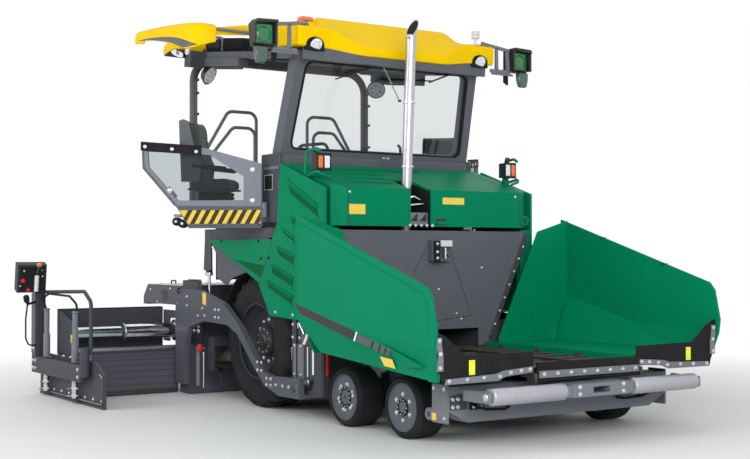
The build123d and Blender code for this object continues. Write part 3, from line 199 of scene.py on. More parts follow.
body_green = paint("body_green_paint", GREEN, 0.42, 0.05)
roof_yellow = paint("roof_yellow_gelcoat", YELLOW, 0.42, 0.05, edge=0.012, spread=0.02)
machine_grey = paint("machine_grey_paint", linear(122, 124, 133), 0.45)
frame_grey = paint("frame_grey_paint", linear(90, 92, 100), 0.45)
console_grey = paint("console_grey_paint", linear(130, 133, 144), 0.42)
cab_grey = paint("cab_grey_paint", linear(98, 101, 109), 0.42)
# The cab's grey made darker for the platform: painted shade.
shadow_grey = paint("deck_painted_shade_grey", linear(78, 81, 88), 0.45)
dark_grey = paint("dark_grey_paint", linear(72, 74, 81), 0.5)
cover_white = paint("cover_light_grey", linear(222, 223, 226), 0.45)
black_frame = paint("black_frame_paint", linear(34, 35, 38), 0.5, 0.1)
chrome = metal("chrome_plate", linear(225, 227, 230), 0.12)
bright_steel = metal("brushed_steel", linear(190, 190, 195), 0.36, (1, 1, 12))
zinc = metal("zinc_bolts", linear(215, 215, 218), 0.28)
worn_steel = metal("worn_steel", linear(95, 90, 86), 0.5)
roller_steel = metal("roller_steel", linear(178, 178, 186), 0.4, (1, 14, 1), metallic=0.55)
tyre_rubber = rubber("tyre_rubber", linear(42, 42, 44), 0.8)
black_rubber = rubber("black_rubber", linear(34, 34, 36), 0.7)
black_plastic = plastic("black_plastic", linear(30, 31, 33), 0.45)


def lens(name, colour, roughness=0.15, glow=0.0):
    """Moulded lamp lens: coloured, glossy, with a fine prism pattern."""
    s = Surface(name, roughness, Coat_Weight=0.6, Coat_Roughness=0.05)
    prisms = s.node("ShaderNodeTexVoronoi", Scale=90, Vector=s.place)
    s.colour(s.mix(s.spread(prisms.outputs["Distance"], 0, 1, 0.0, 0.8), shade(colour, 0.8),
        shade(colour, 1.15)))
    s.bump(prisms.outputs["Distance"], 0.25, 0.001)
    if glow:
        s.shader.inputs["Emission Color"].default_value = colour
        s.shader.inputs["Emission Strength"].default_value = glow
    return s.material


def printed(name, colour, roughness=0.35):
    """Printed film or a painted mark, evenly coloured, slightly scuffed."""
    s = Surface(name, roughness, Coat_Weight=0.2, Coat_Roughness=0.2)
    s.colour(s.mix(s.spread(s.noise(12, 5), 0, 1), shade(colour, 0.94), shade(colour, 1.04)))
    s.rough(s.spread(s.noise(80, 4), roughness - 0.05, roughness + 0.1))
    s.bump(s.noise(500, 2), 0.04, 0.0005)
    return s.material


def woven(name, colour, roughness=0.85):
    """Upholstery: a fine weave of two thread directions with a soft sheen."""
    s = Surface(name, roughness, Sheen_Weight=0.25, Sheen_Roughness=0.5)
    x, y, z = s.axes()
    warp = s.math("SINE", s.math("MULTIPLY", s.math("ADD", x, z), 2600))
    weft = s.math("SINE", s.math("MULTIPLY", s.math("ADD", y, z), 2600))
    weave = s.math("MULTIPLY", warp, weft)
    fleck = s.spread(s.noise(160, 4), 0, 1)
    s.colour(s.mix(fleck, shade(colour, 0.8), shade(colour, 1.25)))
    s.rough(s.spread(s.noise(30, 4), roughness - 0.08, roughness + 0.08))
    s.bump(s.math("ADD", weave, s.noise(60, 4)), 0.25, 0.0006)
    return s.material


orange_lens = lens("orange_lens", linear(240, 110, 30))
white_lens = lens("clear_lens", linear(232, 236, 240), 0.1)
green_lens = lens("green_lens", linear(18, 120, 62), 0.12)
lens_dark = lens("dark_screen", linear(62, 92, 86), 0.1)
reflector = lens("yellow_reflector", linear(225, 240, 30), 0.2)
hazard_yellow = printed("warning_yellow", linear(246, 202, 50))
seam_black = printed("seam_black", linear(22, 23, 25), 0.6)
stripe_grey = printed("stripe_dark_grey", linear(72, 76, 84), 0.45)
label_yellow = printed("label_yellow", linear(250, 214, 80), 0.4)
label_green = printed("knob_green", linear(60, 150, 110), 0.4)
white_paint = printed("white_paint", linear(238, 240, 240), 0.35)
# Flat dark green for the louvre recesses and panel hollows: painted shade.
vent_shade_green = paint("vent_shadow_green", linear(0, 96, 52), 0.5, 0.05)
red_paint = paint("red_paint", linear(170, 30, 45), 0.4)
red_knob = plastic("red_plastic", linear(215, 30, 35), 0.35)
rim_grey = paint("rim_dark_grey_paint", linear(58, 60, 65), 0.4)
seat_cloth = woven("seat_cloth", linear(58, 63, 66))
seat_grey = plastic("seat_side_grey", linear(86, 92, 97), 0.45)


def clear_glass(name, tint, roughness=0.02):
    """A pane that lets light straight through, with a faint tint and gloss."""
    material = bpy.data.materials.new(name)
    material.use_nodes = True
    tree = material.node_tree
    tree.nodes.remove(tree.nodes["Principled BSDF"])
    coord = add(tree, "ShaderNodeTexCoord")
    smear = add(tree, "ShaderNodeTexNoise", Scale=3, Vector=coord.outputs["Object"])
    wave = add(tree, "ShaderNodeBump", Strength=0.02, Distance=0.002, Height=smear.outputs["Fac"])
    clear = add(tree, "ShaderNodeBsdfTransparent", Color=tint)
    gloss = add(tree, "ShaderNodeBsdfGlossy", Roughness=roughness, Normal=wave.outputs["Normal"])
    fresnel = add(tree, "ShaderNodeFresnel", IOR=1.35)
    mix = add(tree, "ShaderNodeMixShader", (), fresnel.outputs["Fac"], clear.outputs["BSDF"],
        gloss.outputs["BSDF"])
    tree.links.new(mix.outputs["Shader"], tree.nodes["Material Output"].inputs["Surface"])
    return material


window_glass = clear_glass("window_glass", (0.87, 0.88, 0.885, 1))
tinted_pane = clear_glass("tinted_pane", (0.73, 0.76, 0.775, 1))

# The plain finish under each CAD node; a name that ends in _ stands for its right and left one
CAD_FINISHES = (
    (dark_grey, "chassis control_desk roof_panel roof_lamps knuckle_fore_ knuckle_aft_ screed_extension_"),
    (worn_steel, "engine conveyor auger_"),
    (machine_grey, "front_beam handrails push_bar"),
    (cab_grey, "hopper_wall windshield_frame roof_frame"),
    (shadow_grey, "platform"),
    (frame_grey, "screed"),
    (console_grey, "console_"),
    (body_green, "body_side_ hood wing_"),
    (roof_yellow, "roof_shells"),
    (window_glass, "windshield_glass"),
    (bright_steel, "exhaust"),
    (roller_steel, "push_roller_"),
    (chrome, "tube_stage_ lift_rods"),
    (tyre_rubber, "rear_wheel_ front_wheel_fore_ front_wheel_aft_"),
    (black_rubber, "apron_ front_flap"),
    (black_plastic, "lift_barrels seat_"),
)

for finish, names in CAD_FINISHES:
    for name in names.split():
        for ending in ("right", "left") if name.endswith("_") else ("",):
            slots = NODES[name + ending].data.materials
            slots.clear()
            slots.append(finish)


# Studio

LENS_PX = 1262.70
FRAME_W = 750
YAW = radians(34.004)
PITCH = radians(1.035)

camera = bpy.data.objects.new("camera", bpy.data.cameras.new("camera"))
bpy.context.scene.collection.objects.link(camera)
camera.data.sensor_width = 36
camera.data.lens = LENS_PX * 36 / FRAME_W
camera.data.clip_end = 200
camera.location = at(11489.8, -7515.0, 1597.8)
look = Vector((-cos(YAW) * cos(PITCH), sin(YAW) * cos(PITCH), sin(PITCH)))
camera.rotation_mode = "QUATERNION"
camera.rotation_quaternion = look.to_track_quat("-Z", "Y")
bpy.context.scene.camera = camera


def area_light(name, place, target, size, power):
    """A soft box aimed at a point."""
    lamp = bpy.data.lights.new(name, "AREA")
    lamp.shape = "RECTANGLE"
    lamp.size, lamp.size_y = size
    lamp.energy = power
    made = bpy.data.objects.new(name, lamp)
    bpy.context.scene.collection.objects.link(made)
    made.location = place
    made.rotation_mode = "QUATERNION"
    made.rotation_quaternion = (Vector(target) - Vector(place)).to_track_quat("-Z", "Y")


area_light("key_box", (12, -6, 5), (0, 0, 1.2), (7, 5), 860)
area_light("side_box", (-3, -12, 5.5), (0, 0, 1.5), (8, 4), 400)
area_light("top_box", (0, 3, 12), (0, 0, 1), (9, 7), 110)

world = bpy.data.worlds.new("studio")
bpy.context.scene.world = world
world.use_nodes = True
wt = world.node_tree
ground_fill = wt.nodes["Background"]
ground_fill.inputs["Color"].default_value = (1, 1, 1, 1)
ground_fill.inputs["Strength"].default_value = 0.5
seen = add(wt, "ShaderNodeBackground", Color=(1, 1, 1, 1), Strength=1.0)
ray = add(wt, "ShaderNodeLightPath")
straight = add(wt, "ShaderNodeMath", {"operation": "MAXIMUM"}, ray.outputs["Is Camera Ray"],
    ray.outputs["Is Transmission Ray"])
either = add(wt, "ShaderNodeMath", {"operation": "MAXIMUM"}, straight.outputs[0],
    ray.outputs["Is Glossy Ray"])
swap = add(wt, "ShaderNodeMixShader", (), either.outputs[0], ground_fill.outputs[0], seen.outputs[0])
wt.links.new(swap.outputs[0], wt.nodes["World Output"].inputs["Surface"])

floor_mesh = bpy.data.meshes.new("studio_floor")
floor_mesh.from_pydata([(-60, -60, 0), (60, -60, 0), (60, 60, 0), (-60, 60, 0)], [], [(0, 1, 2, 3)])
studio_floor = bpy.data.objects.new("studio_floor", floor_mesh)
bpy.context.scene.collection.objects.link(studio_floor)
floor_finish = Surface("studio_floor", 0.7)
patches = floor_finish.spread(floor_finish.noise(0.4, 2), 0, 1)
floor_finish.colour(floor_finish.mix(patches, (0.86, 0.86, 0.87, 1), (0.89, 0.89, 0.90, 1)))
east, north = floor_finish.axes()[:2]
squares = [floor_finish.math("POWER", axis, 2.0) for axis in (east, north)]
span = floor_finish.math("SQRT", floor_finish.math("ADD", *squares))
path = floor_finish.node("ShaderNodeLightPath").outputs
mirrored = floor_finish.math("MAXIMUM", path["Is Glossy Ray"], path["Is Transmission Ray"])
looks = floor_finish.math("MAXIMUM", path["Is Camera Ray"], mirrored)
fade = floor_finish.math("MULTIPLY", looks, floor_finish.spread(span, 0, 1, 3.4, 8.5))
backdrop = floor_finish.node("ShaderNodeEmission", Strength=1.0)
blend = floor_finish.node("ShaderNodeMixShader", (), fade, floor_finish.shader.outputs["BSDF"],
    backdrop.outputs["Emission"])
floor_finish.link(blend.outputs["Shader"], floor_finish.tree.nodes["Material Output"].inputs["Surface"])
floor_mesh.materials.append(floor_finish.material)

scene = bpy.context.scene
scene.view_settings.view_transform = "Standard"


# Making pieces

class Fitting:
    """A piece under construction: closed shapes in one mesh, each with its finish."""

    def __init__(self, name):
        self.name = name
        self.shapes = bmesh.new()
        self.finishes = []

    def dress(self, faces, finish):
        if finish not in self.finishes:
            self.finishes.append(finish)
        for face in faces:
            face.material_index = self.finishes.index(finish)

    def skin(self, rings, finish, closed=False):
        """Quads between rings of points; the ends are capped unless the rings close."""
        rows = [[self.shapes.verts.new(p) for p in ring] for ring in rings]
        n = len(rows[0])
        pairs = list(zip(rows, rows[1:])) + ([(rows[-1], rows[0])] if closed else [])
        faces = []
        for low, high in pairs:
            for i in range(n):
                faces.append(self.shapes.faces.new((low[i], low[(i + 1) % n], high[(i + 1) % n], high[i])))
        if not closed:
            faces.append(self.shapes.faces.new(rows[0][::-1]))
            faces.append(self.shapes.faces.new(rows[-1]))
        self.dress(faces, finish)

    def plate(self, corners, push, finish):
        """A flat outline of points pushed along a vector."""
        moved = [[a + b for a, b in zip(c, push)] for c in corners]
        self.skin([[at(*c) for c in corners], [at(*c) for c in moved]], finish)

    def side(self, outline, y0, y1, finish):
        self.plate([(x, y0, z) for x, z in outline], (0, y1 - y0, 0), finish)

    def cross(self, outline, x0, x1, finish):
        self.plate([(x0, y, z) for y, z in outline], (x1 - x0, 0, 0), finish)

    def block(self, x0, x1, y0, y1, z0, z1, finish):
        self.side(((x0, z0), (x1, z0), (x1, z1), (x0, z1)), y0, y1, finish)

    def swept(self, place, outline, widths, finish):
        """An (x, z) outline that `place` sets down at each width in turn."""
        self.skin([[at(*place(x, y, z)) for x, z in outline] for y in widths], finish)

    def turned(self, centre, axis, profile, finish, steps=32, closed=True):
        """A shape turned about an axis from (along, radius) points, in millimetres."""
        axis = Vector(axis).normalized()
        across = axis.orthogonal().normalized()
        other = axis.cross(across)
        spot = at(*centre)
        rings = []
        for along, radius in profile:
            ring = []
            for i in range(steps):
                a = 2 * pi * i / steps
                ring.append(spot + axis * along / 1000 + (across * cos(a) + other * sin(a)) * radius / 1000)
            rings.append(ring)
        self.skin(rings, finish, closed)

    def bar(self, start, end, radius, finish, steps=20, chamfer=1.5):
        """A round bar between two points, its edges eased."""
        axis = Vector(end) - Vector(start)
        length = axis.length
        self.turned(start, axis, ((0, radius - chamfer), (chamfer, radius), (length - chamfer, radius),
            (length, radius - chamfer)), finish, steps, closed=False)

    def tube(self, points, radius, bend, finish, steps=14, arc=7):
        """A round tube along straight runs joined by arcs of one radius."""
        spots = [Vector(p) for p in points]
        line = [spots[0]]
        for before, corner, after in zip(spots, spots[1:], spots[2:]):
            a, b = (before - corner).normalized(), (after - corner).normalized()
            half = a.angle(b) / 2
            reach = bend / max(0.2, sin(half) / cos(half)) if half < pi / 2 - 0.01 else 0
            reach = min(reach, (before - corner).length * 0.49, (after - corner).length * 0.49)
            for i in range(arc + 1):
                t = i / arc
                line.append((corner + a * reach) * (1 - t) ** 2 + corner * 2 * t * (1 - t)
                    + (corner + b * reach) * t ** 2)
        line.append(spots[-1])
        side = (line[1] - line[0]).orthogonal().normalized()
        rings = []
        for i, spot in enumerate(line):
            ahead = line[min(i + 1, len(line) - 1)] - line[max(i - 1, 0)]
            if ahead.length < 1e-6:
                continue
            ahead.normalize()
            side = (side - ahead * side.dot(ahead)).normalized()
            other = ahead.cross(side)
            rings.append([at(*(spot + (side * cos(2 * pi * k / steps) + other * sin(2 * pi * k / steps))
                * radius)) for k in range(steps)])
        self.skin(rings, finish)

    def done(self, body, slot_name, bevel=2.0, smooth=38):
        """The finished piece, edges eased by a bevel in millimetres, riding on its body."""
        bmesh.ops.remove_doubles(self.shapes, verts=self.shapes.verts, dist=1e-6)
        bmesh.ops.recalc_face_normals(self.shapes, faces=self.shapes.faces)
        mesh = bpy.data.meshes.new(self.name)
        self.shapes.to_mesh(mesh)
        self.shapes.free()
        for finish in self.finishes:
            mesh.materials.append(finish)
        mesh.shade_smooth()
        mesh.set_sharp_from_angle(angle=radians(smooth))
        piece = bpy.data.objects.new(self.name, mesh)
        bpy.context.scene.collection.objects.link(piece)
        if bevel:
            ease = piece.modifiers.new("eased_edges", "BEVEL")
            ease.width = bevel / 1000
            ease.segments = 2
            ease.limit_method = "ANGLE"
            ease.angle_limit = radians(40)
            ease.use_clamp_overlap = True
        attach(piece, body)
        return piece


def group(name, inputs):
    """An empty geometry tree with named inputs after its geometry."""
    tree = bpy.data.node_groups.new(name, "GeometryNodeTree")
    tree.interface.new_socket("Geometry", in_out="INPUT", socket_type="NodeSocketGeometry")
    for label, kind in inputs:
        tree.interface.new_socket(label, in_out="INPUT", socket_type=kind)
    tree.interface.new_socket("Geometry", in_out="OUTPUT", socket_type="NodeSocketGeometry")
    return tree, tree.nodes.new("NodeGroupInput"), tree.nodes.new("NodeGroupOutput")


def bolt_tree():
    """Hexagon heads on washers at each vertex, turned and sized by its attributes."""
    tree, given, result = group("bolt_heads", (("Head height", "NodeSocketFloat"),
        ("Washer width", "NodeSocketFloat"), ("Finish", "NodeSocketMaterial")))
    height = given.outputs["Head height"]

    def lift(mesh, distance):
        rise = add(tree, "ShaderNodeCombineXYZ", Z=distance)
        return add(tree, "GeometryNodeTransform", Geometry=mesh, Translation=rise.outputs[0]).outputs[0]

    washer = add(tree, "GeometryNodeMeshCylinder", Vertices=14, Depth=0.3,
        Radius=given.outputs["Washer width"])
    head = add(tree, "GeometryNodeMeshCylinder", Vertices=6, Radius=1.0, Depth=height)
    crown = add(tree, "GeometryNodeMeshCone", Vertices=12, Radius_Bottom=0.86, Radius_Top=0.6, Depth=0.14)
    half = add(tree, "ShaderNodeMath", {"operation": "MULTIPLY"}, height, 0.5)
    join = add(tree, "GeometryNodeJoinGeometry")
    for part, rise in ((washer, 0.1), (head, half.outputs[0]), (crown, height)):
        tree.links.new(lift(part.outputs["Mesh"], rise), join.inputs[0])
    facing = add(tree, "GeometryNodeInputNamedAttribute", {"data_type": "FLOAT_VECTOR"}, Name="facing")
    size = add(tree, "GeometryNodeInputNamedAttribute", {"data_type": "FLOAT"}, Name="size")
    turn = add(tree, "FunctionNodeAlignRotationToVector", {"axis": "Z"}, Vector=facing.outputs["Attribute"])
    heads = add(tree, "GeometryNodeInstanceOnPoints", Points=given.outputs["Geometry"],
        Instance=join.outputs[0], Rotation=turn.outputs[0], Scale=size.outputs["Attribute"])
    real = add(tree, "GeometryNodeRealizeInstances", (), heads.outputs[0])
    dressed = add(tree, "GeometryNodeSetMaterial", Geometry=real.outputs[0],
        Material=given.outputs["Finish"])
    tree.links.new(dressed.outputs[0], result.inputs[0])
    return tree


def repeat_tree():
    """Copies of the piece's own shape, each moved a step and turned about a centre line."""
    tree, given, result = group("even_copies", (("Count", "NodeSocketInt"), ("Step", "NodeSocketVector"),
        ("Turn", "NodeSocketVector"), ("Centre", "NodeSocketVector"), ("Finish", "NodeSocketMaterial")))
    index = add(tree, "GeometryNodeInputIndex").outputs[0]

    def times(name):
        return add(tree, "ShaderNodeVectorMath", {"operation": "SCALE"}, given.outputs[name],
            Scale=index).outputs[0]

    dots = add(tree, "GeometryNodePoints", Count=given.outputs["Count"])
    place = add(tree, "GeometryNodeSetPosition", Geometry=dots.outputs[0], Position=times("Step"))
    shapes = add(tree, "GeometryNodeInstanceOnPoints", Points=place.outputs[0],
        Instance=given.outputs["Geometry"], Rotation=times("Turn"))
    real = add(tree, "GeometryNodeRealizeInstances", (), shapes.outputs[0])
    shift = add(tree, "GeometryNodeTransform", Geometry=real.outputs[0],
        Translation=given.outputs["Centre"])
    dressed = add(tree, "GeometryNodeSetMaterial", Geometry=shift.outputs[0],
        Material=given.outputs["Finish"])
    tree.links.new(dressed.outputs[0], result.inputs[0])
    return tree


BOLT_HEADS = bolt_tree()
EVEN_COPIES = repeat_tree()


def grown(name, mesh, tree, values, body, smooth=35):
    """The plain mesh that a geometry tree makes from a start mesh, riding on its body."""
    seed = bpy.data.objects.new(name + "_seed", mesh)
    bpy.context.scene.collection.objects.link(seed)
    maker = seed.modifiers.new("maker", "NODES")
    maker.node_group = tree
    for item in tree.interface.items_tree:
        if item.item_type == "SOCKET" and item.in_out == "INPUT" and item.name in values:
            maker[item.identifier] = values[item.name]
    seed.update_tag()
    depsgraph = bpy.context.evaluated_depsgraph_get()
    made = bpy.data.meshes.new_from_object(seed.evaluated_get(depsgraph))
    bpy.data.objects.remove(seed)
    made.name = name
    made.materials.clear()
    made.materials.append(values["Finish"])
    made.polygons.foreach_set("material_index", [0] * len(made.polygons))
    made.shade_smooth()
    made.set_sharp_from_angle(angle=radians(smooth))
    piece = bpy.data.objects.new(name, made)
    bpy.context.scene.collection.objects.link(piece)
    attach(piece, body)
    return piece


HEAD_SCALE = 1.35


def bolts(name, body, places, finish, height=0.7, washer=1.3):
    """Bolt heads at (place, facing, radius) rows, the places in millimetres."""
    mesh = bpy.data.meshes.new(name + "_places")
    mesh.from_pydata([at(*place) for place, facing, radius in places], [], [])
    facing = mesh.attributes.new("facing", "FLOAT_VECTOR", "POINT")
    facing.data.foreach_set("vector", [v for place, direction, radius in places for v in direction])
    size = mesh.attributes.new("size", "FLOAT", "POINT")
    size.data.foreach_set("value", [radius * HEAD_SCALE / 1000 for place, direction, radius in places])
    return grown(name, mesh, BOLT_HEADS, {"Head height": height, "Washer width": washer, "Finish": finish},
        body)


def copies(name, fitting, body, count, finish, step=(0, 0, 0), turn=(0, 0, 0), centre=(0, 0, 0)):
    """Even copies of a fitting's shape. A turned shape is drawn about the frame's origin."""
    bmesh.ops.recalc_face_normals(fitting.shapes, faces=fitting.shapes.faces)
    mesh = bpy.data.meshes.new(name + "_one")
    fitting.shapes.to_mesh(mesh)
    fitting.shapes.free()
    return grown(name, mesh, EVEN_COPIES, {"Count": count, "Step": [s / 1000 for s in step],
        "Turn": list(turn), "Centre": list(centre), "Finish": finish}, body)


def ring_places(centre, axis, radius, count, bolt, start=0.0):
    """Rows for `bolts` on a circle about an axis along Y."""
    rows = []
    for i in range(count):
        a = start + 2 * pi * i / count
        rows.append(((centre[0] + radius * cos(a), centre[1], centre[2] + radius * sin(a)), axis, bolt))
    return rows


def mirror_rows(rows):
    """The same bolt places on both sides of the machine."""
    return rows + [((x, -y, z), (fx, -fy, fz), r) for (x, y, z), (fx, fy, fz), r in rows]


def label(name, body, corners, push, finish, slot_name="panel_white"):
    """A thin blank plate with a raised border, laid on a surface."""
    sign = Fitting(name)
    sign.plate(corners, push, finish)
    middle = [sum(c[i] for c in corners) / len(corners) for i in range(3)]
    inner = [[m + (c - m) * 0.8 for c, m in zip(corner, middle)] for corner in corners]
    inner = [[a + b for a, b in zip(c, push)] for c in inner]
    sign.plate(inner, [p * 0.4 for p in push], finish)
    return sign.done(body, slot_name, bevel=0.6)


# Wheels

REAR_R, REAR_Y = 683, 1052.5
FRONT_R, FRONT_Y = 270, 1125
FRONT_X = {"aft": 1720, "fore": 2640}


def tread_lugs(name, side, body):
    """Two staggered rows of slanted lugs round a drive tyre, wrapping over its shoulders."""
    count = 26
    one = Fitting(name)
    for flank in (1, -1):
        rings = []
        for along, top, low, half, lean in ((6, 683, 655, 0.050, 0.0), (70, 683, 655, 0.047, 0.035),
                (135, 680, 648, 0.050, 0.075), (166, 655, 628, 0.052, 0.09), (185, 604, 590, 0.050, 0.10)):
            shift = lean + (pi / count if flank < 0 else 0)
            ring = []
            for a, r in ((shift - half, top), (shift + half, top), (shift + half, low),
                    (shift - half, low)):
                ring.append(Vector((r * sin(a), flank * along, r * cos(a))) / 1000)
            rings.append(ring)
        one.skin(rings, tyre_rubber)
    return copies(name, one, body, count, tyre_rubber, turn=(0, 2 * pi / count, 0),
        centre=at(0, side * REAR_Y, REAR_R))


def rear_wheel(ending, s):
    """Drive wheel: tyre with ringed walls, stepped rim, planetary hub and its nuts."""
    body = f"rear_wheel_{ending}"
    centre = (0, s * REAR_Y, REAR_R)
    out = (0, s, 0)
    tyre = Fitting(f"rear_tyre_{ending}")
    wall = ((174, 386), (184, 392), (188, 404), (183, 412), (183, 424), (190, 430), (190, 438), (185, 446),
        (188, 478), (192, 486), (192, 494), (188, 502), (187, 560), (178, 606), (160, 640), (132, 658))
    profile = list(wall) + [(-a, r) for a, r in reversed(wall)] + [(-150, 374), (150, 374)]
    tyre.turned(centre, out, profile, tyre_rubber, 72)
    piece = tyre.done(body, "tyre_rubber", bevel=0)
    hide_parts(body)
    tread_lugs(f"rear_tread_{ending}", s, body)
    rim = Fitting(f"rear_rim_{ending}")
    rim.turned(centre, out, ((176, 372), (182, 378), (182, 391), (170, 391), (158, 374), (110, 364),
        (100, 352), (96, 344), (102, 338), (100, 330), (74, 322), (50, 306), (40, 292), (46, 286),
        (44, 278), (36, 272), (36, 175), (44, 168), (44, 158), (-120, 158), (-120, 300), (-150, 330),
        (-150, 374)), rim_grey, 72)
    rim.turned(centre, out, ((-132, 80), (-132, 156), (60, 156), (92, 148), (104, 136), (106, 100),
        (112, 92), (112, 80)), rim_grey, 48)
    rim.turned(centre, out, ((104, 2), (104, 78), (118, 78), (124, 70), (124, 40), (118, 34), (118, 2)),
        worn_steel, 32)
    rim.done(body, "dark_grey", bevel=0)
    rows = ring_places((0, s * (REAR_Y + 37), REAR_R), out, 215, 12, 15)
    rows += ring_places((0, s * (REAR_Y + 99), REAR_R), out, 118, 10, 8, 0.2)
    bolts(f"rear_wheel_nuts_{ending}", body, rows, zinc)


def front_wheel(row, ending, s):
    """Steered wheel: smooth solid tyre, painted disc, hub ring and nuts."""
    body = f"front_wheel_{row}_{ending}"
    x = FRONT_X[row]
    centre = (x, s * FRONT_Y, FRONT_R)
    out = (0, s, 0)
    tyre = Fitting(f"front_tyre_{row}_{ending}")
    wall = ((138, 212), (146, 218), (150, 226), (150, 236), (147, 243), (141, 247), (133, 256), (120, 266),
        (104, 270), (98, 265), (92, 270))
    profile = list(wall) + [(-a, r) for a, r in reversed(wall)] + [(-110, 206), (110, 206)]
    tyre.turned(centre, out, profile, tyre_rubber, 64)
    piece = tyre.done(body, "tyre_rubber", bevel=0)
    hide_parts(body)
    disc = Fitting(f"front_disc_{row}_{ending}")
    dish = 128 if row == "fore" else 122
    disc.turned(centre, out, ((-108, 206), (118, 207), (136, 211), (140, 207), (138, 201), (dish, 196),
        (dish - 3, 180), (dish, 172), (dish, 42), (-108, 42)), cab_grey, 64)
    if row == "fore":
        disc.turned(centre, out, ((120, 42), (120, 76), (138, 76), (142, 72), (142, 58), (138, 54),
            (134, 54), (134, 42)), black_frame, 40)
        disc.turned(centre, out, ((120, 1), (120, 52), (136, 52), (140, 46), (140, 20), (137, 16),
            (137, 1)), cab_grey, 32)
    else:
        disc.turned(centre, out, ((118, 42), (118, 92), (128, 92), (132, 88), (132, 80), (128, 76),
            (124, 76), (124, 42)), black_frame, 40)
        disc.turned(centre, out, ((118, 1), (118, 66), (128, 66), (132, 60), (132, 24), (128, 20),
            (128, 1)), cab_grey, 32)
    disc.done(body, "machine_grey", bevel=0)
    if row == "fore":
        rows = ring_places((x, s * (FRONT_Y + dish), FRONT_R), out, 112, 6, 12, pi / 6)
        rows += ring_places((x, s * (FRONT_Y + 141), FRONT_R), out, 65, 10, 4, 0)
    else:
        rows = ring_places((x, s * (FRONT_Y + dish), FRONT_R), out, 122, 6, 11, 0.2)
        rows += ring_places((x, s * (FRONT_Y + dish), FRONT_R), out, 122, 6, 8, 0.48)
        rows += ring_places((x, s * (FRONT_Y + 131), FRONT_R), out, 84, 12, 4, 0)
    bolts(f"front_wheel_nuts_{row}_{ending}", body, rows, zinc)


for ending, s in sides():
    rear_wheel(ending, s)
    for row in ("fore", "aft"):
        front_wheel(row, ending, s)


# Hood

HOOD_SLOPE = (2215 - 2490) / (1463 - 520)


def hood_z(x):
    """Height of the hood's sloping top."""
    return 2490 + HOOD_SLOPE * (x - 520)


def lamp_guard(ending, s):
    """Corner lamp on the hood: case, white and orange lenses, cap and tube guard."""
    y = s * 1160
    case = Fitting(f"hood_lamp_{ending}")
    case.block(1092, 1196, y - 72, y + 72, 2388, 2542, black_plastic)
    case.block(1186, 1202, y - 78, y + 78, 2382, 2394, black_frame)
    case.block(1186, 1202, y - 78, y + 78, 2536, 2548, black_frame)
    for edge in (y - 78, y + 66):
        case.block(1186, 1202, edge, edge + 12, 2394, 2536, black_frame)
    outer, inner = y + s * 16, y - s * 6
    case.side(((1194, 2404), (1204, 2412), (1204, 2520), (1194, 2528)), outer, y + s * 64, orange_lens)
    case.side(((1194, 2404), (1206, 2412), (1206, 2520), (1194, 2528)), y - s * 62, inner, white_lens)
    case.turned((1110, y + s * 34, 2560), (0, 0, 1), ((0, 2), (0, 24), (10, 30), (34, 28), (48, 18),
        (52, 2)), black_plastic, 20)
    case.block(1098, 1124, y + s * 20, y + s * 46, 2540, 2564, black_plastic)
    case.done("hood", "black_rubber", bevel=4)
    guard = Fitting(f"hood_lamp_guard_{ending}")
    edge = y + s * 84
    guard.tube(((980, edge, 2345), (1010, edge, 2575), (1160, edge, 2590), (1230, edge - s * 20, 2560)), 15,
        60, body_green)
    guard.tube(((1020, edge, 2330), (1100, edge, 2352), (1215, edge, 2372), (1262, edge - s * 30, 2340),
        (1262, y - s * 40, 2310)), 14, 40, body_green)
    guard.tube(((1120, y, 2388), (1120, y, 2330), (1140, y - s * 10, 2270)), 22, 30, body_green)
    guard.done("hood", "body_green", bevel=0)


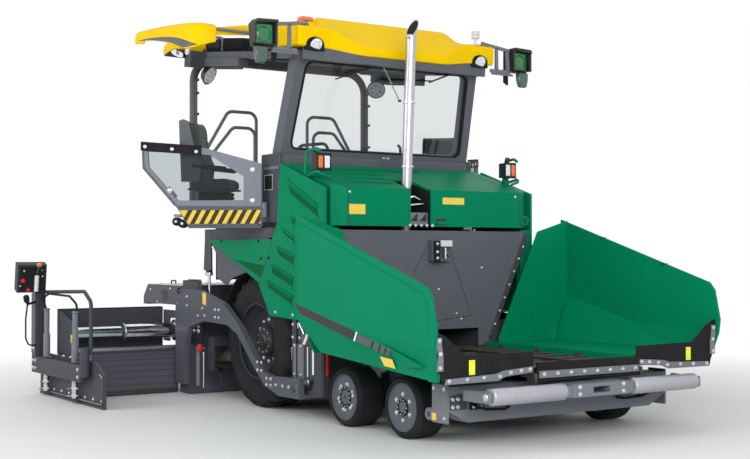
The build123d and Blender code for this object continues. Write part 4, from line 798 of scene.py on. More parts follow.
def hood_panels():
    """Louvre beads, panel joints, front vent, round grille, labels and bolts of the hood."""
    trim = Fitting("hood_trim")
    for x, y0, y1 in ((700, -735, 310), (878, -785, -280), (1056, -835, -345), (1234, -890, -395)):
        z0, z1 = hood_z(x), hood_z(x + 24)
        trim.plate(((x - 6, y0 - 6, hood_z(x - 6) + 1), (x, y0 - 6, z0 + 1), (x, y1 + 6, z0 + 1),
            (x - 6, y1 + 6, hood_z(x - 6) + 1)), (0, 0, 5), body_green)
        trim.plate(((x + 24, y0 - 6, z1 + 1), (x + 30, y0 - 6, hood_z(x + 30) + 1),
            (x + 30, y1 + 6, hood_z(x + 30) + 1), (x + 24, y1 + 6, z1 + 1)), (0, 0, 5), body_green)
    trim.done("hood", "body_green", bevel=1)
    joints = Fitting("hood_joints")
    front = 1463
    for s in (-1, 1):
        joints.block(front, front + 1.2, s * 1048, s * 1055, 1856, 2210, seam_black)
        corner = ((1370, 1200), (1463, 1070))
        for t in (0.12, 0.88):
            x = corner[0][0] + (corner[1][0] - corner[0][0]) * t
            y = corner[0][1] + (corner[1][1] - corner[0][1]) * t
            joints.plate(((x, s * (y + 1), 1856), (x + 4, s * (y - 4.6), 1856),
                (x + 4, s * (y - 4.6), 2225), (x, s * (y + 1), 2235)), (1.2, s * 0.9, 0), seam_black)
        joints.plate(((530, s * 1052, hood_z(530) + 0.5), (1460, s * 1052, hood_z(1460) + 0.5),
            (1460, s * 1059, hood_z(1460) + 0.5), (530, s * 1059, hood_z(530) + 0.5)), (0.3, 0, 1.2),
            seam_black)
        joints.side(((1365, 1856), (1365, 2240), (1371, 2238), (1371, 1856)), s * 1200, s * 1201.2,
            seam_black)
    joints.done("hood", "dark_grey", bevel=0)
    front_fit = Fitting("hood_front_fittings")
    front_fit.block(front, front + 5, -22, 111, 1866, 1932, seam_black)
    front_fit.block(front + 4, front + 12, -14, 103, 1874, 1906, body_green)
    front_fit.turned((front, 1122, 1924), (1, 0, 0), ((0, 30), (0, 58), (8, 58), (10, 52), (10, 30)),
        body_green, 32)
    front_fit.turned((front, 1122, 1924), (1, 0, 0), ((0, 1), (0, 34), (4, 34), (4, 1)), seam_black, 24)
    front_fit.done("hood", "body_green", bevel=1)
    slat = Fitting("grille_slat")
    slat.block(1464, 1472, 1080, 1164, 1886, 1891, body_green)
    copies("hood_round_grille", slat, "hood", 8, body_green, step=(0, 0, 11))
    label("hood_label_near", "hood", ((front, -1047, 1961), (front, -862, 1961), (front, -862, 2056),
        (front, -1047, 2056)), (2, 0, 0), label_yellow)
    label("hood_label_far", "hood", ((front, 60, 2075), (front, 330, 2075), (front, 330, 2142),
        (front, 60, 2142)), (2, 0, 0), label_yellow)
    rows = [((front, 1000, 2170), (1, 0, 0), 8), ((front, -1040, 2170), (1, 0, 0), 8)]
    for i in range(5):
        rows.append(((front + 4, -340 + 68 * i, 1860), (1, 0, 0), 9))
    rows += mirror_rows([((600, -1200, 1900), (0, -1, 0), 9), ((950, -1200, 1900), (0, -1, 0), 9),
        ((1300, -1200, 1900), (0, -1, 0), 9)])
    bolts("hood_bolts", "hood", rows, zinc)


def exhaust_recess():
    """Black box round the exhaust's foot with its shield, two rods and two pipe clamps."""
    recess = Fitting("exhaust_recess")
    y0, y1 = -205 - 120, -205 + 120
    recess.block(1064, 1072, y0, y1, 1860, 2300, black_frame)
    recess.side(((1072, 1860), (1450, 1860), (1450, 2205), (1072, 2300)), y0, y0 + 6, black_frame)
    recess.side(((1072, 1860), (1450, 1860), (1450, 2205), (1072, 2300)), y1 - 6, y1, black_frame)
    recess.block(1072, 1450, y0 + 6, y1 - 6, 1856, 1864, black_frame)
    recess.done("tractor", "dark_grey", bevel=1)
    shield = Fitting("exhaust_shield")
    shield.block(1404, 1420, -318, -92, 1864, 1990, machine_grey)
    for y in (-300, -190):
        shield.cross(((y, 1905), (y + 80, 1905), (y + 80, 1985)), 1419, 1424, seam_black)
    shield.tube(((1330, -300, 2120), (1370, -230, 2150), (1370, -150, 2120)), 10, 30, chrome)
    shield.bar((1390, -300, 2060), (1390, -110, 2080), 9, chrome)
    shield.done("tractor", "machine_grey", bevel=1.5)
    clamp = Fitting("exhaust_clamp")
    lean = Vector((110, 0, 2000)).normalized()
    foot = Vector((1228, -205, 2440))
    for rise in (0, 640):
        spot = foot + lean * rise
        clamp.turned(spot, lean, ((0, 57), (0, 62), (26, 62), (26, 57)), zinc, 40)
        clamp.block(spot.x + 56, spot.x + 78, spot.y - 14, spot.y + 14, spot.z + 4, spot.z + 24, zinc)
    clamp.done("tractor", "steel", bevel=1)


def exhaust_pipe():
    """Exhaust pipe with a bent tip, cut aslant round a dark bore."""
    foot, bend, tip = Vector((1190, -205, 1800)), Vector((1300, -205, 3760)), Vector((1306, -165, 3970))
    slant, slant_spot = Vector((0.42, -0.72, 0.55)).normalized(), Vector((1302, -188, 3832))
    rise, lean = (bend - foot).normalized(), (tip - bend).normalized()

    def ring(spot, axis, radius):
        across = Vector((1, 0, 0))
        across = (across - axis * across.dot(axis)).normalized()
        other = axis.cross(across)
        return [spot + (across * cos(2 * pi * k / 40) + other * sin(2 * pi * k / 40)) * radius
            for k in range(40)]

    def aslant(radius, depth):
        return [p + lean * ((slant_spot - p).dot(slant) / lean.dot(slant) - depth)
            for p in ring(bend, lean, radius)]
    pipe = Fitting("exhaust_pipe")
    outer = [ring(foot, rise, 52), ring(bend - rise * 40, rise, 52), ring(bend, (rise + lean).normalized(),
        52.5), ring(bend + lean * 30, lean, 52)]
    pipe.skin([[at(*p) for p in r] for r in outer[:3] + [aslant(52, 0), aslant(47, 0), aslant(47, 16)]],
        bright_steel)
    pipe.skin([[at(*p) for p in r] for r in (aslant(47.5, 14), aslant(47.5, 5))], black_frame)
    piece = pipe.done("tractor", "steel", bevel=0, smooth=40)
    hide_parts("exhaust")


for ending, s in sides():
    lamp_guard(ending, s)
exhaust_pipe()
hood_panels()
exhaust_recess()


# Side panels of the engine bay

LOUVRES = (((725, 2265), (783, 2174), (1300, 1931), (1272, 2017)), ((597, 1840), (639, 1791), (852, 1695),
    (838, 1733)), ((770, 1940), (775, 1932), (838, 1856), (871, 1911)), ((506, 1652), (542, 1575),
    (839, 1480), (839, 1545)), ((393, 1469), (415, 1392), (812, 1268), (826, 1336)),
    ((314, 1306), (329, 1250), (796, 1092), (823, 1150)))
ARCH = ((-1000, 1745), (-984, 1693), (-853, 1575), (-852, 1325), (-627, 1240), (-510, 1317), (-224, 1382),
    (100, 1400), (300, 1745))


def engine_side(ending, s):
    """Engine bay side: louvred panel, rear flap, grey arch plate, shelf and post in one piece."""
    face = s * 1285
    side = Fitting(f"engine_side_{ending}")
    side.side(((570, 2480), (500, 1880), (115, 1290), (360, 960), (880, 940), (1400, 1010), (1400, 2210)),
        face, s * 1255, body_green)
    side.side(((-1000, 1730), (402, 1730), (115, 1290)), face, s * 1265, body_green)
    side.side(ARCH, s * 1263, s * 1251, frame_grey)
    side.block(730, 1400, s * 1255, s * 800, 985, 1000, body_green)
    side.block(1330, 1400, s * 1255, s * 1125, 1000, 1830, body_green)
    piece = side.done("tractor", "body_green", bevel=2)
    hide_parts(f"body_side_{ending}")
    slots = Fitting(f"engine_louvres_{ending}")
    # Each louvre: a dark green plate of painted shade in the recess, a raised lip above and a sloped green
    # face below.
    for top_aft, low_aft, low_fore, top_fore in LOUVRES:
        slots.side((top_aft, low_aft, low_fore, top_fore), face, s * 1287, vent_shade_green)
        lip = [(x, z + rise) for (x, z), rise in ((top_aft, 0), (top_fore, 0), (top_fore, 20),
            (top_aft, 12))]
        slots.side(lip, face, s * 1299, body_green)
        slope = [(x, z - drop) for (x, z), drop in ((low_aft, 0), (low_fore, 0), (low_fore, 34),
            (low_aft, 14))]
        slots.side(slope, face, s * 1290, body_green)
    # A thin dark strip and a dark triangle on the panel: painted shade.
    slots.side(((711, 2330), (1290, 2056), (1290, 2046), (711, 2320)), face, s * 1286.5, vent_shade_green)
    slots.side(((-400, 1520), (245, 1462), (170, 1345)), face, s * 1287, vent_shade_green)
    slots.done("tractor", "body_green", bevel=2.5)


def wheel_liner(ending, s):
    """Dark mudguard round the rear wheel, with its inboard wall and rear plate."""
    liner = Fitting(f"wheel_liner_{ending}")
    rings = []
    for i in range(21):
        a = radians(58 + i * 5.2)
        rings.append([at(r * cos(a), s * y, REAR_R + r * sin(a)) for r, y in ((750, 1250), (750, 884),
            (758, 884), (758, 1250))])
    liner.skin(rings, black_frame)
    liner.side(((-870, 1050), (-870, 1740), (620, 1740), (620, 1420), (330, 1420), (-640, 1120)), s * 872,
        s * 880, frame_grey)
    liner.block(-878, -870, s * 1262, s * 872, 1300, 1740, black_frame)
    liner.done("tractor", "dark_grey", bevel=1.5)


def side_trim(ending, s):
    """Panel joint and bolts on one side of the engine bay."""
    y = s * 1285
    trim = Fitting(f"side_trim_{ending}")
    trim.side(((437, 1850), (431, 1850), (393, 1679), (143, 1277), (149, 1277), (399, 1679)), y,
        y + s * 1.5, seam_black)
    trim.done("tractor", "body_green", bevel=0)
    rows = [((x, y, z), (0, s, 0), 10) for x, z in ((480, 1000), (820, 985), (1350, 1040), (1350, 1500))]
    bolts(f"side_bolts_{ending}", "tractor", rows, zinc)
    rows = [((x, y, z), (0, s, 0), 9) for x, z in ((339, 1540), (180, 1537), (-705, 1715), (126, 1715))]
    bolts(f"flap_bolts_{ending}", "tractor", rows, black_frame)


for ending, s in sides():
    engine_side(ending, s)
    wheel_liner(ending, s)
    side_trim(ending, s)


# Hopper

def wing_face_trim(ending, s):
    """Edge band, stripes, label, hook, grips, shoe and bracket of a hopper wing."""
    body = f"wing_{ending}"
    y = s * 1630
    rim = Fitting(f"wing_rim_{ending}")
    top = ((1480, 1945), (3500, 1320), (3560, 1250), (3620, 980), (3600, 840))
    inner = ((1480, 1885), (3455, 1272), (3500, 1215), (3545, 980), (3530, 845))
    for a, b, c, d in zip(top, top[1:], inner[1:], inner):
        rim.side((a, b, c, d), y, s * 1640, body_green)
    rim.done(body, "body_green", bevel=6)
    stripe = Fitting(f"wing_stripe_{ending}")
    outer = s * 1631.2

    def band(points, finish):
        stripe.side(points, y, outer, finish)
    band(((1452, 1128), (2462, 926), (2415, 850), (1530, 1040)), seam_black)
    band(((2480, 924), (2500, 920), (2458, 838), (2434, 846)), white_paint)
    band(((2520, 905), (2735, 862), (2690, 795), (2478, 840)), stripe_grey)
    band(((2765, 856), (2838, 842), (2800, 772), (2726, 790)), stripe_grey)
    band(((2868, 836), (2925, 825), (2885, 757), (2830, 770)), stripe_grey)
    band(((2955, 820), (3000, 811), (2965, 745), (2918, 755)), stripe_grey)
    stripe.done(body, "dark_grey", bevel=0)
    label(f"wing_label_{ending}", body, ((2815, s * 1611, 735), (2990, s * 1611, 722),
        (3010, s * 1590, 645), (2850, s * 1590, 655)), (0, s * 3, 0), label_yellow)
    hook = Fitting(f"wing_hook_{ending}")
    hook.tube(((1464, s * 1600, 900), (1470, s * 1612, 945), (1500, s * 1612, 950), (1540, s * 1612, 900),
        (1560, s * 1600, 850)), 8, 22, chrome)
    hook.tube(((1540, s * 1585, 760), (1575, s * 1590, 800), (1618, s * 1600, 845)), 13, 20, white_paint)
    hook.block(1545, 1600, s * 1560, s * 1590, 830, 905, body_green)
    hook.done(body, "chrome_tube", bevel=1)
    grip = Fitting(f"wing_grips_{ending}")
    for x, z in ((2100, 1735), (2930, 1475)):
        grip.block(x - 48, x + 48, y, s * 1636, z - 18, z - 12, body_green)
        grip.block(x - 48, x + 48, y, s * 1636, z + 12, z + 18, body_green)
    grip.done(body, "body_green", bevel=1.5)
    shoe = Fitting(f"wing_shoe_{ending}")
    shoe.block(3440, 3545, s * 1540, s * 1580, 575, 640, body_green)
    shoe.done(body, "body_green", bevel=4)
    bracket = Fitting(f"wing_bracket_{ending}")
    bracket.side(((1760, 560), (1950, 575), (2040, 520), (1940, 500), (1890, 400), (1830, 390),
        (1800, 520)), s * 985, s * 1015, machine_grey)
    bracket.turned((1850, s * 980, 425), (0, s, 0), ((0, 1), (0, 34), (50, 34), (54, 28), (54, 1)),
        dark_grey, 24)
    bracket.done("tractor", "machine_grey", bevel=3)


def apron_trim(ending, s):
    """Bolted clamping strips on the rubber apron, its reflector and the wing's outer strip."""
    body = f"wing_{ending}"
    front = 3574
    strip = Fitting(f"apron_strips_{ending}")
    strip.cross(((s * 1600, 665), (s * 1535, 665), (s * 1535, 790), (s * 1550, 860), (s * 1550, 930),
        (s * 1603, 930), (s * 1603, 850), (s * 1585, 790)), front, front + 12, machine_grey)
    strip.cross(((s * 1520, 556), (s * 1510, 600), (s * 1000, 618), (s * 920, 640), (s * 612, 660),
        (s * 612, 610), (s * 900, 590), (s * 985, 560)), front, front + 12, machine_grey)
    strip.done(body, "machine_grey", bevel=2)
    plate_mark = Fitting(f"apron_reflector_{ending}")
    plate_mark.block(front, front + 6, s * 1276, s * 1216, 622, 740, reflector)
    plate_mark.done(body, "panel_white", bevel=1.5)
    rows = [((front + 12, s * y, z), (1, 0, 0), 11) for y, z in ((1575, 905), (1565, 800), (1568, 690),
        (1480, 582), (1300, 587), (1130, 590), (965, 592), (850, 618), (740, 628), (645, 635))]
    bolts(f"apron_bolts_{ending}", body, rows, zinc)


def hopper_skirt(ending, s):
    """Plates that close the hopper's floor beside the conveyor and under the wing's front edge."""
    skirt = Fitting(f"hopper_skirt_{ending}")
    skirt.block(1470, 3540, s * 585, s * 603, 600, 694, body_green)
    skirt.done("tractor", "body_green", bevel=2)
    lip = Fitting(f"wing_lip_{ending}")
    lip.block(3470, 3554, s * 660, s * 1560, 600, 684, body_green)
    lip.done(f"wing_{ending}", "body_green", bevel=2)


def flap_trim():
    """Clamping strip and bolts of the centre flap."""
    strip = Fitting("flap_strip")
    strip.block(3614, 3624, -575, 575, 560, 620, machine_grey)
    strip.done("front_flap", "machine_grey", bevel=2)
    rows = [((3624, y, 590), (1, 0, 0), 11) for y in range(-525, 530, 150)]
    bolts("front_flap_bolts", "front_flap", rows, zinc)


def bulkhead_trim():
    """Hatch joints, latch, bolts and edge strips on the hopper's grey bulkhead."""
    wall = 1460
    seams = Fitting("bulkhead_seams")
    for a, b in (((-100, 1700), (-240, 1480)), ((120, 1700), (420, 960)), ((420, 960), (-60, 915)),
            ((-240, 1480), (-300, 1380))):
        dy, dz = b[0] - a[0], b[1] - a[1]
        n = hypot(dy, dz)
        ny, nz = -dz / n * 2.5, dy / n * 2.5
        seams.cross(((a[0] - ny, a[1] - nz), (b[0] - ny, b[1] - nz), (b[0] + ny, b[1] + nz),
            (a[0] + ny, a[1] + nz)), wall, wall + 1.2, seam_black)
    seams.done("tractor", "dark_grey", bevel=0)
    latch = Fitting("hatch_latch")
    latch.block(1546, 1560, -110, -40, 1505, 1712, black_frame)
    latch.block(1546, 1565, -35, 105, 1655, 1715, cover_white)
    latch.block(1546, 1558, -10, 80, 1560, 1655, dark_grey)
    latch.bar((1566, 15, 1530), (1566, 15, 1640), 11, chrome)
    latch.bar((1560, 70, 1560), (1566, 40, 1600), 8, chrome)
    latch.done("tractor", "dark_grey", bevel=2.5)
    edge = Fitting("bulkhead_edges")
    for s in (-1, 1):
        edge.cross(((s * 650, 745), (s * 700, 745), (s * 1158, 1700), (s * 1158, 1800), (s * 1125, 1800)),
            wall, wall + 6, dark_grey)
    edge.done("tractor", "dark_grey", bevel=1.5)
    rows = [((wall, y, z), (1, 0, 0), 8) for y, z in ((560, 1440), (15, 1230), (-230, 1225), (240, 985),
        (300, 930), (-380, 935))]
    for s in (-1, 1):
        for t in (0.1, 0.24, 0.38, 0.52, 0.66, 0.8, 0.93):
            rows.append(((wall + 6, s * (685 + (1140 - 685) * t), 770 + 950 * t), (1, 0, 0), 9))
    rows += [((1560, -75, z), (1, 0, 0), 9) for z in (1540, 1600, 1680)]
    bolts("bulkhead_bolts", "tractor", rows, zinc)


for ending, s in sides():
    wing_face_trim(ending, s)
    apron_trim(ending, s)
    hopper_skirt(ending, s)
flap_trim()
bulkhead_trim()


# Front beam and rollers

def beam_trim():
    """End plates, valve blocks, hoses, bolts, shackle blocks and labels of the front beam."""
    for ending, s in sides():
        part = Fitting(f"beam_end_{ending}")
        part.block(3081, 3279, s * 1262, s * 1276, 202, 516, machine_grey)
        part.turned((3032, s * 1243, 259), (0, s, 0), ((-5, 24), (-5, 50), (32, 50), (34, 46), (34, 24)),
            machine_grey, 36)
        part.block(3279, 3296, s * 1240, s * 1075, 310, 425, dark_grey)
        part.block(3279, 3300, s * 1040, s * 900, 300, 430, black_frame)
        part.block(3279, 3292, s * 860, s * 520, 330, 410, dark_grey)
        part.tube(((3292, s * 1010, 340), (3330, s * 1000, 330), (3340, s * 900, 300), (3330, s * 700, 290),
            (3290, s * 620, 300)), 11, 40, black_rubber)
        part.done("tractor", "machine_grey", bevel=2.5)
        label(f"beam_label_{ending}", "tractor", ((3082, s * 1276, 215), (3140, s * 1276, 215),
            (3140, s * 1276, 275), (3082, s * 1276, 275)), (0, s * 2, 0), label_yellow)
        rows = [((3296, s * y, z), (1, 0, 0), 11) for y in (1222, 1170) for z in (335, 400)]
        rows += [((3300, s * y, z), (1, 0, 0), 8) for y in (1010, 960, 930) for z in (325, 405)]
        rows += [((x, s * 1276, z), (0, s, 0), 10) for x, z in ((3110, 480), (3250, 480), (3250, 240))]
        bolts(f"beam_bolts_{ending}", "tractor", rows, zinc)


def roller_trim():
    """Push rollers with eased ends, their pin caps and the push bar's pads and bolts."""
    for ending, s in sides():
        body = f"push_roller_{ending}"
        roll = Fitting(f"push_roller_shell_{ending}")
        roll.turned((3710, s * 390, 450), (0, s, 0), ((0, 26), (0, 58), (6, 66), (14, 69.7), (766, 69.7),
            (774, 66), (780, 58), (780, 26)), roller_steel, 56)
        piece = roll.done(body, "steel", bevel=0)
        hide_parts(body)
        cap = Fitting(f"roller_pin_cap_{ending}")
        cap.turned((3710, s * 1214, 450), (0, s, 0), ((0, 1), (0, 34), (8, 34), (12, 28), (12, 1)), zinc,
            24)
        cap.block(3420, 3745, s * 1190, s * 1203, 488, 496, machine_grey)
        cap.block(3700, 3750, s * 345, s * 372, 400, 498, machine_grey)
        cap.done("push_bar", "steel", bevel=1.5)
        rows = [((3500, s * y, 480), (0, 0, 1), 12) for y in (420, 620, 820, 1020)]
        rows += [((3756, s * 250, z), (1, 0, 0), 12) for z in (420, 480)]
        bolts(f"push_bar_bolts_{ending}", "push_bar", rows, zinc)


beam_trim()
roller_trim()


# Tow frames between the wheels

def tow_frame_trim(ending, s):
    """Bolted guide plates, cylinder rods, guide strips and valve beside the tow point."""
    y = s * 1255
    frame_plate = Fitting(f"tow_plates_{ending}")
    frame_plate.side(((765, 940), (940, 940), (940, 205), (765, 230)), y, s * 1262, dark_grey)
    frame_plate.block(805, 965, y, s * 1268, 705, 225, machine_grey)
    frame_plate.block(866, 882, s * 1262, s * 1274, 225, 940, black_frame)
    frame_plate.block(955, 990, s * 1255, s * 1266, 205, 930, machine_grey)
    frame_plate.block(1000, 1300, s * 1230, s * 1248, 230, 660, black_frame)
    frame_plate.block(1290, 1330, s * 1170, s * 1250, 230, 640, dark_grey)
    frame_plate.done("tractor", "dark_grey", bevel=2)
    rods = Fitting(f"tow_rods_{ending}")
    rods.block(758, 772, s * 1262, s * 1268, 545, 668, chrome)
    rods.bar((1068, s * 1262, 400), (1068, s * 1262, 690), 9, chrome)
    rods.bar((1173, s * 1262, 430), (1173, s * 1262, 690), 16, chrome)
    rods.bar((1372, s * 1225, 430), (1372, s * 1225, 640), 17, red_paint)
    rods.turned((1000, s * 1262, 338), (0, s, 0), ((0, 2), (0, 46), (18, 46), (24, 38), (24, 20), (30, 16),
        (30, 2)), chrome, 32)
    rods.turned((1092, s * 1262, 352), (0, s, 0), ((0, 2), (0, 26), (20, 26), (24, 20), (24, 2)),
        bright_steel, 24)
    rods.tube(((1000, s * 1270, 300), (1060, s * 1275, 270), (1130, s * 1270, 300), (1150, s * 1262, 380)),
        9, 30, black_rubber)
    rods.done("tractor", "chrome_tube", bevel=1)
    rows = [((x, s * 1268, z), (0, s, 0), 10) for x, z in ((824, 690), (946, 690), (825, 410), (947, 411),
        (825, 250), (947, 250))]
    rows += [((x, s * 1262, z), (0, s, 0), 10) for x, z in ((785, 891), (785, 766), (915, 891), (915, 766))]
    rows += [((1365, s * 1250, 690), (0, s, 0), 12)]
    bolts(f"tow_bolts_{ending}", "tractor", rows, zinc)


for ending, s in sides():
    tow_frame_trim(ending, s)


# Windshield and cab front

def windshield_trim():
    """Rubber gasket round the pane, sill, wipers, hinges and the cab's blank plates."""
    low, high = Vector((398, 0, 2593)), Vector((648, 0, 3521))
    up = (high - low).normalized()
    out = Vector((up.z, 0, -up.x))
    length = (high - low).length

    def on_pane(y, rise, proud=0.0):
        return low + up * rise + out * proud + Vector((0, y, 0))
    gasket = Fitting("windshield_gasket")
    corners = ((-1095, 50), (1095, 50), (1035, length), (-1035, length))
    outline = []
    for i, (y, z) in enumerate(corners):
        before, after = corners[i - 1], corners[(i + 1) % 4]
        for t in range(7):
            a = Vector(before) - Vector((y, z))
            b = Vector(after) - Vector((y, z))
            p = Vector((y, z)) + a.normalized() * 90 * (1 - t / 6) ** 2 + b.normalized() * 90 * (t / 6) ** 2
            outline.append(p)
    centre = sum((Vector(p) for p in outline), Vector((0, 0))) / len(outline)
    rings = []
    for grow, proud in ((0.0, -26), (0.0, -2), (10, 4), (24, 4), (30, -2), (30, -26)):
        ring = []
        for p in outline:
            inward = (centre - p).normalized()
            q = p + inward * (30 - grow)
            ring.append(at(*on_pane(q.x, q.y, proud)))
        rings.append(ring)
    gasket.skin(rings, black_rubber, closed=True)
    gasket.done("tractor", "black_rubber", bevel=0)
    sill = Fitting("windshield_sill")
    sill.side(((380, 2490), (436, 2490), (440, 2560), (418, 2590), (384, 2590)), -1182, 1182, cab_grey)
    sill.done("tractor", "cab_grey", bevel=5)
    wiper = Fitting("wipers")
    for pivot, knee, tips in (((-130, 1000), (-520, 872), ((-668, 800), (-330, 930))),
            ((860, 1010), (506, 862), ((-90, 838), (545, 874)))):
        a, b = on_pane(*pivot, 40), on_pane(*knee, 30)
        wiper.bar(a, b, 9, black_plastic, 12, 1)
        wiper.bar(on_pane(*tips[0], 12), on_pane(*tips[1], 12), 7, black_rubber, 10, 1)
        wiper.bar(b, on_pane(knee[0] + 8, knee[1] - 6, 10), 9, black_plastic, 12, 1)
        wiper.bar(on_pane(*pivot, -4), on_pane(*pivot, 56), 24, black_plastic, 18, 2)
    wiper.bar(on_pane(-146, 1000, 46), on_pane(156, 634, 20), 6, zinc, 12, 1)
    wiper.bar(on_pane(140, 634, 20), on_pane(174, 634, 20), 12, black_plastic, 12, 2)
    wiper.done("tractor", "black_rubber", bevel=0)
    hinges = Fitting("windshield_hinges")
    for y in (-690, 100):
        for dy in (-28, 28):
            a = on_pane(y + dy - 16, -42, 2)
            hinges.plate((a, a + Vector((0, 32, 0)), a + Vector((0, 32, 0)) + up * 60, a + up * 60),
                out * 8, cover_white)
        hinges.bar(on_pane(y - 50, -46, 8), on_pane(y + 50, -46, 8), 9, zinc, 14)
    hinges.done("tractor", "steel", bevel=1.5)
    for ending, s in sides():
        y = s * 1216
        badge = Fitting(f"cab_badge_{ending}")
        badge.block(130, 302, y, s * 1220, 2232, 2388, black_frame)
        for a, b, c, d in ((130, 302, 2232, 2238), (130, 302, 2382, 2388), (130, 136, 2238, 2382),
                (296, 302, 2238, 2382)):
            badge.block(a, b, s * 1220, s * 1221.5, c, d, cover_white)
        badge.done("tractor", "panel_white", bevel=0)
        corner = Fitting(f"cab_corner_{ending}")
        corner.block(60, 440, s * 1215, s * 1221, 2440, 2470, machine_grey)
        corner.tube(((436, s * 1222, 1965), (436, s * 1222, 2560)), 8, 10, cab_grey)
        corner.done("tractor", "cab_grey", bevel=1.5)


def cab_inside():
    """Steering column, screen, boxes, arched handle, floor mat and desk buttons behind the glass."""
    inside = Fitting("cab_column")
    inside.skin([[at(x, y, z) for x, y in ((-40 - w, -160 - w), (-40 + w, -160 - w), (-40 + w, -160 + w),
        (-40 - w, -160 + w))] for z, w in ((1950, 120), (2100, 80), (2450, 55), (2560, 75))], dark_grey)
    inside.block(20, 60, -520, -330, 2530, 2700, dark_grey)
    inside.block(60, 66, -505, -345, 2545, 2685, black_plastic)
    inside.tube(((40, -760, 2520), (40, -760, 2720), (40, -420, 2760), (40, -340, 2520)), 17, 70, cab_grey)
    inside.block(-60, 150, -60, 330, 2528, 2640, cab_grey)
    inside.block(-40, 130, 420, 700, 2528, 2660, cab_grey)
    inside.block(-20, 100, 150, 280, 2640, 2690, black_plastic)
    inside.tube(((30, 560, 2650), (20, 560, 2760), (-20, 560, 2790)), 15, 20, black_rubber)
    inside.skin([[at(90, -560 + dy, 2535 + dz) for dy, dz in ((-40, 0), (40, 0), (0, 62))],
        [at(100, -560 + dy, 2535 + dz) for dy, dz in ((-40, 0), (40, 0), (0, 62))]], red_paint)
    inside.done("tractor", "cab_grey", bevel=5)
    deck = Fitting("deck_mat")
    deck.block(-1600, 30, -1060, 1060, 1950, 1956, black_rubber)
    deck.done("tractor", "black_rubber", bevel=1)
    rib = Fitting("deck_rib")
    rib.block(-1580, 10, -1040, -1032, 1956, 1959, black_rubber)
    copies("deck_ribs", rib, "tractor", 52, black_rubber, step=(0, 40, 0))
    desk = Fitting("desk_panels")
    desk.plate(((-40, -780, 2494), (-40, 780, 2494), (150, 780, 2522), (150, -780, 2522)), (-1, 0, 6),
        black_plastic)
    for i, y in enumerate(range(-700, 720, 100)):
        for j, x in enumerate((0, 60)):
            finish = (zinc, orange_lens, label_green, cover_white)[(i * 3 + j * 5) % 4]
            z = 2500 + (x + 40) * 28 / 190
            desk.bar((x, y, z), (x - 2, y, z + 14), 11, finish, 14)
    desk.done("tractor", "black_plastic", bevel=2)


windshield_trim()
cab_inside()


# Seat consoles

PIVOT = (190, 1262)
SWING = radians(46)


def console_spot(s):
    """Turns a console's own places, drawn along X on the right, to where it stands."""
    def place(x, y, z):
        dx, dy = x - PIVOT[0], y + PIVOT[1]
        px = PIVOT[0] + dx * cos(SWING) - dy * sin(SWING)
        py = -PIVOT[1] + dx * sin(SWING) + dy * cos(SWING)
        return (px, -py * s, z)
    return place


